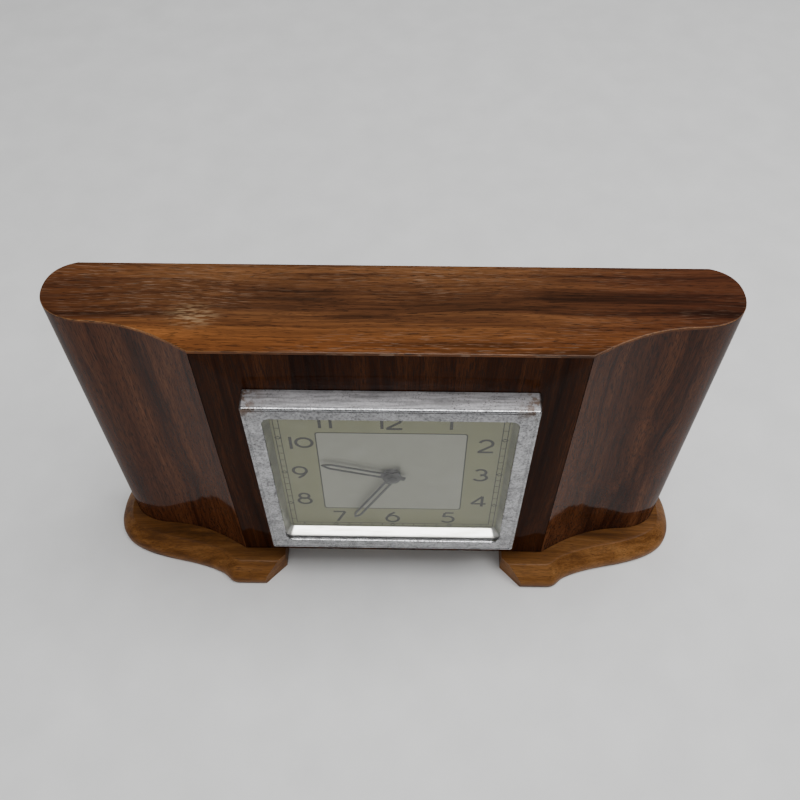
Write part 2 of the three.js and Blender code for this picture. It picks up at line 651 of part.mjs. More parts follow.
function addGoingBarrel() {
  const { barrel, centre } = AXIS;
  const wheel = gearPlate(GREAT, facing(barrel, centre), [circle(HUB.bore)]);
  const drum = tube(BARREL.inner, BARREL.outer, GREAT.back - 0.1, BARREL.back, 24);
  addOnAxis('mainspring_barrel', joined(wheel, drum), brass, barrel);
  const lid = disc(BARREL.outer - 0.1, [circle(HUB.bore)], 24);
  addOnAxis('barrel_cover', plate(lid, BARREL.back + GAP, BARREL.back + 1.1), brass, barrel);
  const strip = coil(SPRING.inner, SPRING.outer, 4, 0.9, 12);
  addOnAxis('mainspring', plate(strip, SPRING.front, SPRING.back), blackSteel, barrel);
  const [start, end] = [PLATE.front + 0.2, KEY.front - GAP];
  addOnAxis('winding_arbor', turned([
    [0, start], [ARBOR, start], [ARBOR, SPRING.front], [HUB.radius, SPRING.front],
    [HUB.radius, SPRING.back], [ARBOR, SPRING.back], [ARBOR, end], [0, end],
  ], 10), steel, barrel);
  addOnAxis('ratchet_wheel', gearPlate(RATCHET, 0, [circle(HUB.bore)], 0.12), steel, barrel);
  addOnAxis('winding_key', keyGeometry(), brass, barrel);
  addClick();
}

// A wing key: a turned pipe with a flat bow that has two lobes.
function keyGeometry() {
  const pipe = turned([
    [0, KEY.front], [2.7, KEY.front], [2.7, KEY.shoulder + 2], [1.6, KEY.back - 2], [0, KEY.back - 2],
  ], 12);
  const bow = new THREE.Shape();
  bow.moveTo(-3, KEY.shoulder);
  bow.lineTo(3, KEY.shoulder);
  bow.bezierCurveTo(6, KEY.shoulder, 6.5, KEY.shoulder - 0.6, 9, KEY.shoulder - 0.6);
  bow.bezierCurveTo(13.6, KEY.shoulder - 0.6, 13.6, KEY.back, 9, KEY.back);
  bow.bezierCurveTo(6, KEY.back, 5, KEY.back - 2.6, 0, KEY.back - 2.6);
  bow.bezierCurveTo(-5, KEY.back - 2.6, -6, KEY.back, -9, KEY.back);
  bow.bezierCurveTo(-13.6, KEY.back, -13.6, KEY.shoulder - 0.6, -9, KEY.shoulder - 0.6);
  bow.bezierCurveTo(-6.5, KEY.shoulder - 0.6, -6, KEY.shoulder, -3, KEY.shoulder);
  const leaf = new THREE.ExtrudeGeometry(bow, { depth: 1.4, bevelEnabled: false, curveSegments: 4 });
  leaf.translate(0, 0, -0.7);
  return joined(pipe, leaf);
}

function addClick() {
  const toWheel = AXIS.barrel.clone().sub(AXIS.click);
  const far = toWheel.length() - RATCHET.tip - GAP - 0.1;
  const side = toWheel.clone().normalize();
  const across = new THREE.Vector2(-side.y, side.x);
  const at = (along, over) => side.clone().multiplyScalar(along).addScaledVector(across, over);
  const arm = new THREE.Shape([at(0, -1.8), at(far, 0), at(far - 2.5, 2), at(0, 1.8)]);
  const body = joined(
    plate(disc(CLICK.radius, [], 10), RATCHET.front, RATCHET.back),
    plate(arm, RATCHET.front, RATCHET.back),
  );
  const hole = rod(CLICK.bore, RATCHET.front - 1, RATCHET.back + 1, 8);
  addOnAxis('click', cutFrom(body, hole), steel, AXIS.click);
  const foot = PLATE.backBack + GAP - 0.1;
  const head = RATCHET.back + GAP;
  const stud = [[0, foot], [0.8, foot], [0.8, head], [1.8, head], [1.8, head + 0.8], [0, head + 0.8]];
  addOnAxis('click_stud', turned(stud, 8), steel, AXIS.click);
}

// A staff with a pivot at each end in the movement plates, joined to the wheels it carries.
function arborWith(parts, radius = 1) {
  const pivot = 0.6;
  const front = PLATE.front + GAP;
  const back = PLATE.backBack - GAP;
  const staff = turned([
    [0, front], [pivot, front], [pivot, PLATE.frontBack + GAP], [radius, PLATE.frontBack + GAP],
    [radius, PLATE.back - GAP], [pivot, PLATE.back - GAP], [pivot, back], [0, back],
  ], 8);
  return joined(staff, ...parts);
}

function addTrain() {
  const { centre, third, fourth, escape, pallet, balance } = AXIS;
  addOnAxis('third_wheel', arborWith([
    gearPlate(THIRD_PINION, gapFacing(THIRD_PINION, third, centre)),
    gearPlate(THIRD, facing(third, fourth), crossings(4, 3.4, 11.4, 1)),
  ]), brass, third);
  addOnAxis('fourth_wheel', arborWith([
    gearPlate(FOURTH_PINION, gapFacing(FOURTH_PINION, fourth, third)),
    gearPlate(FOURTH, 0, crossings(4, 3, 9.6, 1)),
  ]), brass, fourth);
  addOnAxis('escape_wheel', arborWith([
    gearPlate(ESCAPE_PINION, 0),
    gearPlate(ESCAPE, 0, [], 0.2),
  ]), brass, escape);
  addPallet(pallet, escape, balance);
  const wheel = disc(BALANCE.radius, crossings(2, 2.2, BALANCE.radius - 1.4, 1), 20);
  const rim = plate(wheel, BALANCE.front, BALANCE.back);
  addOnAxis('balance_wheel', arborWith([rim], 0.8), brass, balance);
  const strip = coil(HAIRSPRING.inner, HAIRSPRING.outer, 3, 0.35, 10);
  addOnAxis('hairspring', plate(strip, HAIRSPRING.front, HAIRSPRING.back), steel, balance);
}

// The lever: two pallet arms that straddle the escape wheel and a fork towards the balance.
function addPallet(pallet, escape, balance) {
  const up = escape.clone().sub(pallet);
  const down = balance.clone().sub(pallet);
  const blade = (target, length, turnDegrees = 0) => {
    const along = target.clone().normalize().rotateAround(
      new THREE.Vector2(), THREE.MathUtils.degToRad(turnDegrees));
    const across = new THREE.Vector2(-along.y, along.x).multiplyScalar(PALLET.width / 2);
    const end = along.clone().multiplyScalar(length);
    const neck = across.clone().multiplyScalar(0.6);
    const corners = [across.clone().negate(), end.clone().sub(neck), end.clone().add(neck), across];
    return plate(new THREE.Shape(corners), PALLET.front, PALLET.back);
  };
  const arm = up.length() - ESCAPE.tip + 1.8;
  addOnAxis('pallet_lever', arborWith([
    plate(disc(1.9, [], 8), PALLET.front, PALLET.back),
    blade(up, arm, PALLET.spread),
    blade(up, arm, -PALLET.spread),
    blade(down, down.length() - 2.6),
  ], 0.8), steel, pallet);
}

function addRegulator() {
  const { front, back, tab, inner, outer } = REGULATOR;
  const body = joined(
    plate(disc(3, [], 12), front, back),
    plate(rectangle(0, -1.2, outer + 0.2, 1.2), front, back),
    plate(rectangle(inner, -0.7, outer, 0.7), back - 0.1, tab),
  );
  addOnAxis('regulator_lever', body, steel, AXIS.balance);
}

addCase();
addFeet();
addDialGroup();
addHands();
addFrame();
addCentre();
addGoingBarrel();
addTrain();
addRegulator();

export default clock;
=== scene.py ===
"""A walnut mantel clock with a square chromed bezel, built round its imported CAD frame.

Everything is in metres in the row frame: +X right seen from the front, +Y back, +Z up.
"""

import json
import math
import random
from math import cos, pi, radians, sin

import bmesh
import bpy
from mathutils import Matrix, Vector


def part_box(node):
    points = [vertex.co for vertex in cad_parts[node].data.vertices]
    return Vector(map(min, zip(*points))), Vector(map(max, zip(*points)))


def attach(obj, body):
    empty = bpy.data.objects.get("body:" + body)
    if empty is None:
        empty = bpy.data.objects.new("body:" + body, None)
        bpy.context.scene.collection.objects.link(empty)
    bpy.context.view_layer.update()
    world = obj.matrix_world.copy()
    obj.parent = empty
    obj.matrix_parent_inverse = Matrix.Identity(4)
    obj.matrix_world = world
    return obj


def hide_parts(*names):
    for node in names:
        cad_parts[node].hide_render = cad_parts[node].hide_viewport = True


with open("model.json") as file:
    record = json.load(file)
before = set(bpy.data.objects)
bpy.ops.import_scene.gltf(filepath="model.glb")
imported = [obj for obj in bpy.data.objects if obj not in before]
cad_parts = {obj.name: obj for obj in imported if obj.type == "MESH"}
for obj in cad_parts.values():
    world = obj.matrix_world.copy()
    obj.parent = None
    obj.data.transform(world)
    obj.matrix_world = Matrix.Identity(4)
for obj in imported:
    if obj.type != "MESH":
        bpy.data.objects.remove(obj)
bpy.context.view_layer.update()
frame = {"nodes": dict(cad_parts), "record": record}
NODES = frame["nodes"]
MM = 0.001

# ---------- places and sizes taken from the frame ----------
panel_low, panel_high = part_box("front_panel")
bezel_low, bezel_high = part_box("bezel")
back_low, back_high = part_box("back_panel")
foot_low, foot_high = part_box("right_foot")
FACE_Y = panel_low[1]
BACK_Y = back_high[1]
CASE_BOTTOM = panel_low[2]
CASE_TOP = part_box("top_veneer")[1][2]
FOOT_HEIGHT = foot_high[2]
DIAL_Z = (bezel_low[2] + bezel_high[2]) / 2
BEZEL_HALF = (bezel_high[0] - bezel_low[0]) / 2
BEZEL_FRONT = bezel_low[1]
PANEL_HALF = panel_high[0]
PANEL_THICKNESS = 0.006
OPENING = 0.0505  # half the width of the opening in the bezel


# ---------- small helpers ----------
def link(thing):
    bpy.context.scene.collection.objects.link(thing)


def reworked(me, step):
    """Runs one mesh-editing step on a mesh."""
    bm = bmesh.new()
    bm.from_mesh(me)
    step(bm)
    bm.to_mesh(me)
    bm.free()


def evaluated_mesh(thing):
    """The mesh of an object with its modifiers or curve settings applied."""
    graph = bpy.context.evaluated_depsgraph_get()
    return bpy.data.meshes.new_from_object(thing.evaluated_get(graph), depsgraph=graph)


def rotation(degrees, axis):
    return Matrix.Rotation(radians(degrees), 4, axis)


# ---------- camera ----------
def add_camera():
    """A hand-held view from above and in front, a little to the right of the middle."""
    yaw, pitch, roll = -0.019, 0.943, -0.003
    place = Vector((7.55, -221.9, 427.1)) * MM
    ahead = Vector((sin(yaw) * cos(pitch), cos(yaw) * cos(pitch), -sin(pitch)))
    right = Vector((cos(yaw), -sin(yaw), 0))
    up = right.cross(ahead)
    turned_right = cos(roll) * right + sin(roll) * up
    turned_up = cos(roll) * up - sin(roll) * right
    data = bpy.data.cameras.new("camera")
    data.sensor_width = 36
    data.lens = 40.293
    data.clip_start = 0.01
    camera = bpy.data.objects.new("camera", data)
    turn = Matrix((turned_right, turned_up, -ahead)).transposed().to_4x4()
    camera.matrix_world = Matrix.Translation(place) @ turn
    link(camera)
    bpy.context.scene.camera = camera


# ---------- stage ----------
def add_stage():
    """A pale floor, a large soft light, a low fill in front and a sheen that only gloss and metal take."""
    me = bpy.data.meshes.new("floor")
    reworked(me, lambda bm: bmesh.ops.create_circle(bm, cap_ends=True, segments=96, radius=4.0))
    floor = bpy.data.objects.new("floor", me)
    link(floor)
    make = Nodes("floor_paper")
    speck = make.noise(make.coords(), 35.0, detail=4)
    tone = make.ramp(speck, [(0.3, (0.74, 0.74, 0.735)), (0.7, (0.80, 0.80, 0.795))])
    make.surface(base=tone, roughness=0.65)
    me.materials.append(make.material)

    area_light("overhead", place=(0.28, 0.0, 1.25), tilt=(0, 12), size=(1.3, 0.9), power=21.5)
    area_light("front_fill", place=(-0.12, -1.1, 0.12), tilt=(90, 0), size=(0.26, 0.22), power=3.6,
               glossy=False)
    area_light("metal_sheen", place=(0.05, -0.58, 1.10), tilt=(27, 2), size=(0.9, 0.5), power=13.0,
               diffuse=False)

    world = bpy.data.worlds.new("studio")
    bpy.context.scene.world = world
    world.use_nodes = True
    background = world.node_tree.nodes["Background"]
    background.inputs["Color"].default_value = (0.86, 0.87, 0.88, 1)
    background.inputs["Strength"].default_value = 0.26


def area_light(name, place, tilt, size, power, diffuse=True, glossy=True):
    """A soft panel that looks down, turned about X and then Y by the tilt in degrees."""
    data = bpy.data.lights.new(name, "AREA")
    data.shape = "RECTANGLE"
    data.size, data.size_y = size
    data.energy = power
    light = bpy.data.objects.new(name, data)
    light.location = place
    light.rotation_euler = (radians(tilt[0]), radians(tilt[1]), 0)
    light.visible_diffuse = diffuse
    light.visible_glossy = glossy
    link(light)


# ---------- material building ----------
class Nodes:
    """A short way to write a material's node tree."""

    def __init__(self, name):
        self.material = bpy.data.materials.new(name)
        self.material.use_nodes = True
        self.tree = self.material.node_tree
        self.tree.nodes.clear()
        self.output = self.tree.nodes.new("ShaderNodeOutputMaterial")

    def put(self, socket, value):
        if isinstance(value, bpy.types.NodeSocket):
            self.tree.links.new(value, socket)
        elif isinstance(value, tuple) and len(value) == 3 and len(socket.default_value) == 4:
            socket.default_value = (*value, 1)
        else:
            socket.default_value = value

    def add(self, kind, **values):
        node = self.tree.nodes.new(kind)
        for key, value in values.items():
            self.put(node.inputs[key.replace("_", " ")], value)
        return node

    def coords(self):
        return self.tree.nodes.new("ShaderNodeTexCoord").outputs["Object"]

    def scaled(self, vector, scale, shift=(0, 0, 0)):
        node = self.add("ShaderNodeMapping", Vector=vector, Scale=scale, Location=shift)
        return node.outputs["Vector"]

    def noise(self, vector, scale, detail=3.0, rough=0.5):
        node = self.add("ShaderNodeTexNoise", Vector=vector, Scale=scale, Detail=detail, Roughness=rough)
        return node.outputs["Fac"]

    def cells(self, vector, scale):
        node = self.add("ShaderNodeTexVoronoi", Vector=vector, Scale=scale)
        return node.outputs["Distance"]

    def ramp(self, value, stops):
        node = self.tree.nodes.new("ShaderNodeValToRGB")
        elements = node.color_ramp.elements
        while len(elements) < len(stops):
            elements.new(0.5)
        for element, (place, colour) in zip(elements, stops):
            element.position = place
            element.color = (*colour, 1) if isinstance(colour, tuple) else (colour, colour, colour, 1)
        self.put(node.inputs["Fac"], value)
        return node.outputs["Color"]

    def math(self, operation, a, b=0.0):
        node = self.tree.nodes.new("ShaderNodeMath")
        node.operation = operation
        self.put(node.inputs[0], a)
        self.put(node.inputs[1], b)
        return node.outputs[0]

    def plus(self, a, b):
        return self.math("ADD", a, b)

    def times(self, a, b):
        return self.math("MULTIPLY", a, b)

    def flip(self, value):
        return self.math("SUBTRACT", 1.0, value)

    def vector_math(self, operation, *values):
        node = self.tree.nodes.new("ShaderNodeVectorMath")
        node.operation = operation
        for socket, value in zip(node.inputs, values):
            self.put(socket, value)
        return node.outputs["Value" if operation == "DISTANCE" else "Vector"]

    def mix(self, factor, a, b, blend="MIX"):
        node = self.tree.nodes.new("ShaderNodeMix")
        node.data_type = "RGBA"
        node.blend_type = blend
        self.put(node.inputs[0], factor)
        self.put(node.inputs[6], a)
        self.put(node.inputs[7], b)
        return node.outputs[2]

    def tinted(self, colour, tint):
        return self.mix(1.0, colour, tint, "MULTIPLY")

    def axis(self, vector, letter):
        node = self.add("ShaderNodeSeparateXYZ", Vector=vector)
        return node.outputs[letter]

    def between(self, value, low, high):
        node = self.add("ShaderNodeMapRange", Value=value, From_Min=low, From_Max=high)
        node.interpolation_type = "SMOOTHSTEP"
        return node.outputs["Result"]

    def bump(self, height, depth, normal=None):
        node = self.add("ShaderNodeBump", Height=height, Distance=depth, Strength=1.0)
        if normal is not None:
            self.put(node.inputs["Normal"], normal)
        return node.outputs["Normal"]

    def surface(self, base, roughness, metallic=0.0, normal=None, coat=0.0, coat_roughness=0.1,
                specular=0.5, coat_normal=None):
        shader = self.tree.nodes.new("ShaderNodeBsdfPrincipled")
        self.put(shader.inputs["Base Color"], base)
        self.put(shader.inputs["Roughness"], roughness)
        self.put(shader.inputs["Metallic"], metallic)
        shader.inputs["Specular IOR Level"].default_value = specular
        shader.inputs["Coat Weight"].default_value = coat
        shader.inputs["Coat Roughness"].default_value = coat_roughness
        if normal is not None:
            self.put(shader.inputs["Normal"], normal)
        if coat_normal is not None:
            self.put(shader.inputs["Coat Normal"], coat_normal)
        self.tree.links.new(shader.outputs[0], self.output.inputs["Surface"])


def along_grain(grain, along, across):
    """Scale that stretches a pattern along one axis."""
    return tuple(along if letter == grain else across for letter in "XYZ")


def walnut(name, grain, tones, specular, coat, wave=0.004, figure=1.0, pores=(0.55, 0.6),
           pore_colour=(0.012, 0.006, 0.004), roughness=0.3, shift=(0, 0, 0), tint=None, wear=None):
    """Sliced walnut veneer: broad bands, dark streaks, fibres and short pores under lacquer."""
    make = Nodes(name)
    place = make.scaled(make.coords(), (1, 1, 1), shift)
    sway = make.add("ShaderNodeTexNoise", Vector=make.scaled(place, along_grain(grain, 9, 22)),
                    Scale=1.0, Detail=2.0).outputs["Color"]
    centred = make.vector_math("SUBTRACT", sway, (0.5, 0.5, 0.5))
    grained = make.vector_math("MULTIPLY_ADD", centred, (wave * 2.6,) * 3, place)

    def lines(along, across, **options):
        return make.noise(make.scaled(grained, along_grain(grain, along, across)), 1.0, **options)

    bands = lines(2.2, 95, detail=3, rough=0.55)
    streaks = lines(2.6, 420, detail=4, rough=0.6)
    fibres = lines(40, 2300, detail=2)
    pore = lines(170, 3300, detail=1)
    pattern = make.plus(make.times(bands, 0.62), make.times(streaks, 0.38))
    spread = make.plus(make.times(make.math("SUBTRACT", pattern, 0.5), figure), 0.5)
    colour = make.ramp(spread, list(zip((0.36, 0.46, 0.56, 0.70), tones)))
    if tint is not None:
        colour = tint(make, place, colour)
    colour = make.mix(make.between(fibres, 0.35, 0.65), make.mix(0.28, colour, (0, 0, 0)), colour)
    mask = make.between(pore, *pores)
    colour = make.mix(make.times(mask, 0.75), colour, pore_colour)
    if wear is not None:
        colour = wear(make, place, colour, grained)
    skin = make.bump(make.noise(place, 60.0, detail=2), 0.00012)
    under = make.bump(make.plus(make.times(mask, -1.0), fibres), 0.00003, skin)
    make.surface(base=colour, roughness=roughness, normal=under, coat=coat,
                 coat_roughness=0.05, specular=specular, coat_normal=skin)
    return make.material


# ---------- meshes ----------
def place_mesh(name, verts, faces, materials, sharp=32.0, face_slots=None):
    """A closed mesh object in the row frame, smooth where its faces meet gently."""
    me = bpy.data.meshes.new(name)
    me.from_pydata([tuple(v) for v in verts], [], faces)
    return finish_mesh(name, me, materials, sharp, face_slots)


def finish_mesh(name, me, materials, sharp=32.0, face_slots=None):
    """Gives a mesh its materials, outward faces and shading, and places it."""
    if not isinstance(materials, (list, tuple)):
        materials = [materials]
    for material in materials:
        me.materials.append(material)
    if face_slots is not None:
        for polygon, index in zip(me.polygons, face_slots):
            polygon.material_index = index
    reworked(me, lambda bm: bmesh.ops.recalc_face_normals(bm, faces=bm.faces))
    me.shade_smooth()
    me.set_sharp_from_angle(angle=radians(sharp))
    piece = bpy.data.objects.new(name, me)
    link(piece)
    return piece


def stand_for(piece, body, slot, *nodes):
    """Rides the piece on its body and lets it stand for its CAD nodes."""
    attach(piece, body)
    if nodes:
        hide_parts(*nodes)


def middle_of(node):
    """The centre of a CAD node's box."""
    low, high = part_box(node)
    return [(a + b) / 2 for a, b in zip(low, high)]


def rings(loops, close_section=False):
    """Vertices and faces that join equal loops one after another, closed to a ring or capped."""
    count = len(loops[0])
    verts = [v for loop in loops for v in loop]
    faces = []
    last = len(loops) if close_section else len(loops) - 1
    for s in range(last):
        a = s * count
        b = (s + 1) % len(loops) * count
        for i in range(count):
            j = (i + 1) % count
            faces.append((a + i, a + j, b + j, b + i))
    if not close_section:
        faces.append(tuple(range(count)))
        faces.append(tuple(range((len(loops) - 1) * count, len(loops) * count)))
    return verts, faces


def bezier(p0, p1, p2, p3, steps, first=True):
    """Points along a cubic curve, with or without its first point."""
    points = []
    for k in range(0 if first else 1, steps + 1):
        t = k / steps
        u = 1 - t
        weights = (u ** 3, 3 * u * u * t, 3 * u * t * t, t ** 3)
        points.append(tuple(sum(w * p[i] for w, p in zip(weights, (p0, p1, p2, p3))) for i in (0, 1)))
    return points


def arc(radius, start, end, steps, x=0.0, z=0.0):
    """Points on an arc in the (x, z) plane, in degrees."""
    angles = [radians(start + (end - start) * k / steps) for k in range(steps + 1)]
    return [(x + radius * cos(a), z + radius * sin(a)) for a in angles]


def inset(points, distance, closed=True):
    """Moves an outline to its left by a distance that may differ from point to point."""
    count = len(points)
    moved = []
    for i, (x, y) in enumerate(points):
        before = points[i - 1] if closed or i else None
        after = points[(i + 1) % count] if closed or i < count - 1 else None
        normal = Vector((0, 0))
        sides = []
        for a, b in ((before, (x, y)), ((x, y), after)):
            if a is None or b is None:
                continue
            along = Vector((b[0] - a[0], b[1] - a[1]))
            if along.length < 1e-9:
                continue
            along.normalize()
            sides.append(Vector((-along.y, along.x)))
            normal += sides[-1]
        normal.normalize()
        stretch = distance / max(normal.dot(sides[0]), 0.55)
        moved.append((x + normal.x * stretch, y + normal.y * stretch))
    return moved


def mirrored(points):
    """The same outline on the other side of the clock, still anticlockwise."""
    return [(-x, y) for x, y in reversed(points)]


def in_mm(points, across=0.0, along=0.0):
    """Points given in millimetres, moved by an amount in metres."""
    return [(across + x * MM, along + y * MM) for x, y in points]


def turned(name, profile, centre, materials, segments=64, sharp=32.0):
    """A turned piece about a line along Y through centre = (x, z), from (radius, y) pairs."""
    directions = [(cos(a), sin(a)) for a in (2 * pi * k / segments for k in range(segments))]
    loops = []
    for radius, y in profile:
        reach = max(radius, 1e-6)
        loops.append([(centre[0] + reach * c, y, centre[1] + reach * s) for c, s in directions])
    verts, faces = rings(loops)
    me = bpy.data.meshes.new(name)
    me.from_pydata(verts, [], faces)
    reworked(me, lambda bm: bmesh.ops.remove_doubles(bm, verts=bm.verts, dist=2e-6))
    return finish_mesh(name, me, materials, sharp)


def drill(name, radius, front, back, centre, material, segments=40):
    """A plain rod along Y that is cut out of a piece."""
    profile = [(0, front), (radius, front), (radius, back), (0, back)]
    return turned(name, profile, centre, material, segments)


def cut(piece, cutters):
    """Cuts helper objects out of a piece and removes them."""
    for tool in cutters:
        step = piece.modifiers.new("cut", "BOOLEAN")
        step.operation = "DIFFERENCE"
        step.solver = "EXACT"
        step.object = tool
    bake_modifiers(piece)
    for tool in cutters:
        bpy.data.objects.remove(tool, do_unlink=True)
    piece.data.shade_smooth()
    piece.data.set_sharp_from_angle(angle=radians(32))
    return piece


def bake_modifiers(piece):
    """Replaces a piece's mesh by the result of its modifiers."""
    result = evaluated_mesh(piece)
    piece.modifiers.clear()
    piece.data = result


def filled(name, outlines, front, back, materials, soften=0.0, sharp=40.0, to_row=None):
    """A flat piece in the (x, z) plane from an outer outline and its holes."""
    curve = bpy.data.curves.new(name, "CURVE")
    curve.dimensions = "2D"
    curve.fill_mode = "BOTH"
    curve.extrude = (back - front) / 2 - soften
    curve.bevel_depth = soften
    curve.bevel_resolution = 2
    for outline in outlines:
        spline = curve.splines.new("POLY")
        spline.points.add(len(outline) - 1)
        for point, (x, z) in zip(spline.points, outline):
            point.co = (x, z, 0, 1)
        spline.use_cyclic_u = True
    holder = bpy.data.objects.new(name, curve)
    link(holder)
    me = evaluated_mesh(holder)
    bpy.data.objects.remove(holder, do_unlink=True)
    stand = Matrix.Translation((0, (front + back) / 2, 0)) @ rotation(90, "X")
    me.transform(stand if to_row is None else to_row)
    me.materials.clear()
    reworked(me, lambda bm: bmesh.ops.remove_doubles(bm, verts=bm.verts, dist=1e-7))
    return finish_mesh(name, me, materials, sharp)


# ---------- outlines of the case and feet ----------
def at_case(points):
    """From millimetres behind the front face to the row frame."""
    return [(x * MM, y * MM + FACE_Y) for x, y in points]


def case_end(steps):
    """The swept end of the case in plan, from the front panel round to the back."""
    depth = (BACK_Y - FACE_Y) / MM
    line = bezier((75, 0), (88, 7.8), (99, 13.6), (116, 14.3), steps)
    line += bezier((116, 14.3), (127, 14.8), (136.4, 19.5), (136.4, 30.5), steps, first=False)
    line += bezier((136.4, 30.5), (136.4, 38), (132.5, 43), (125, depth), steps, first=False)
    return at_case(line)


def foot_outline(steps):
    """The right foot in plan at its widest."""
    depth = (BACK_Y - FACE_Y) / MM
    front = (foot_low[1] - FACE_Y) / MM
    inner = foot_low[0] / MM
    line = [(inner, depth), (inner, 25), (inner, 10), (inner, front), (78, front)]
    line += bezier((78, front), (84, front), (83, -10.6), (89, -8), steps, first=False)
    line += bezier((89, -8), (97, -4.4), (105, -2.9), (113.4, -1.2), steps, first=False)
    line += bezier((113.4, -1.2), (124, 1), (133.5, 4.2), (138.8, 9.2), steps, first=False)
    line += bezier((138.8, 9.2), (143, 13.4), (144.7, 18.5), (144.7, 25), steps, first=False)
    line += bezier((144.7, 25), (144.7, 33), (143, 40), (139, depth), steps, first=False)
    line += [(x, depth) for x in (115, 95, 75)]
    return at_case(line)


def foot_ridge(steps):
    """Where the flat top of the foot breaks into its wall, point for point with the outline."""
    depth = (BACK_Y - FACE_Y) / MM
    inner = foot_low[0] / MM
    line = [(inner, depth), (inner, 25), (inner, 10), (inner, -7.2), (77, -7.2)]
    line += bezier((77, -7.2), (80.5, -7.2), (81.5, -4.0), (86.3, -1.9), steps, first=False)
    line += bezier((86.3, -1.9), (94.6, 1.7), (103.6, 3.8), (112.1, 5.4), steps, first=False)
    line += bezier((112.1, 5.4), (121.5, 7.4), (129.6, 10.1), (134.1, 14.1), steps, first=False)
    line += bezier((134.1, 14.1), (136.7, 16.6), (137.9, 20.3), (137.9, 25), steps, first=False)
    line += bezier((137.9, 25), (137.9, 32), (136.3, 38), (132.5, depth), steps, first=False)
    line += [(x, depth) for x in (110, 92, 74)]
    return at_case(line)


# ---------- materials of the clock ----------
def top_tint(make, place, colour):
    """Honey-coloured sapwood towards the front edge, purplish heartwood towards the back."""
    depth = make.axis(place, "Y")
    waver = make.noise(make.scaled(place, (5, 40, 1)), 1.0, detail=2)
    wander = make.times(make.math("SUBTRACT", waver, 0.5), 0.018)
    line = make.plus(depth, wander)
    honey = make.flip(make.between(line, FACE_Y + 0.002, FACE_Y + 0.018))
    bright = make.tinted(colour, (1.75, 1.5, 1.05))
    colour = make.mix(honey, colour, bright)
    side = make.between(make.axis(place, "X"), 0.02, 0.13)
    other = make.flip(make.between(make.axis(place, "X"), -0.135, -0.075))
    dusk = make.times(side, make.flip(make.times(honey, 0.6)))
    colour = make.mix(dusk, colour, make.tinted(colour, (0.68, 0.56, 0.62)))
    return make.mix(other, colour, make.tinted(colour, (0.72, 0.62, 0.58)))


def top_wear(make, place, colour, grained):
    """Dry, pale pores over most of the top, and a rubbed patch near the left front."""
    dry = make.noise(make.scaled(grained, (130, 2900, 1)), 1.0, detail=2)
    region = make.noise(make.scaled(place, (11, 30, 1)), 1.0, detail=3)
    left = make.flip(make.between(make.axis(place, "X"), -0.02, 0.12))
    amount = make.times(make.between(region, 0.42, 0.62), make.plus(make.times(left, 0.55), 0.3))
    pale = make.times(make.between(dry, 0.57, 0.66), amount)
    colour = make.mix(make.times(pale, 0.55), colour, (0.25, 0.17, 0.115))
    squeeze = 0.62
    patch_place = (-0.0755 * squeeze, FACE_Y + 0.0175, 0)
    away = make.vector_math("DISTANCE", make.scaled(place, (squeeze, 1, 0)), patch_place)
    near = make.flip(make.between(away, 0.001, 0.0085))
    rough = make.noise(make.scaled(place, (190, 1500, 1)), 1.0, detail=3)
    patch = make.times(near, make.between(rough, 0.44, 0.62))
    return make.mix(make.times(patch, 0.6), colour, (0.33, 0.22, 0.12))


def foot_spots(make, place, colour):
    """A few darker knots and stains in the honey-coloured wood."""
    blot = make.noise(make.scaled(place, (28, 60, 60)), 1.0, detail=3)
    return make.mix(make.times(make.between(blot, 0.60, 0.74), 0.65), colour, (0.05, 0.02, 0.008))


def metal(name, base, roughness, spread=0.15, grain=0.00001, tarnish=None, tarnish_colour=(0.2, 0.15, 0.1),
          scale=400.0):
    """Plated or worked metal with uneven polish, fine scratches and some tarnish."""
    make = Nodes(name)
    place = make.coords()
    cloud = make.noise(place, scale * 0.2, detail=5, rough=0.6)
    fine = make.noise(make.scaled(place, (1, 1, 6)), scale, detail=3)
    polish = make.plus(make.times(make.math("SUBTRACT", cloud, 0.5), spread), roughness)
    colour = make.mix(make.between(cloud, 0.3, 0.7), base, tuple(c * 0.82 for c in base))
    if tarnish is not None:
        colour = make.mix(make.times(make.between(cloud, *tarnish), 0.8), colour, tarnish_colour)
    make.surface(base=colour, roughness=polish, metallic=1.0, normal=make.bump(fine, grain))
    return make.material


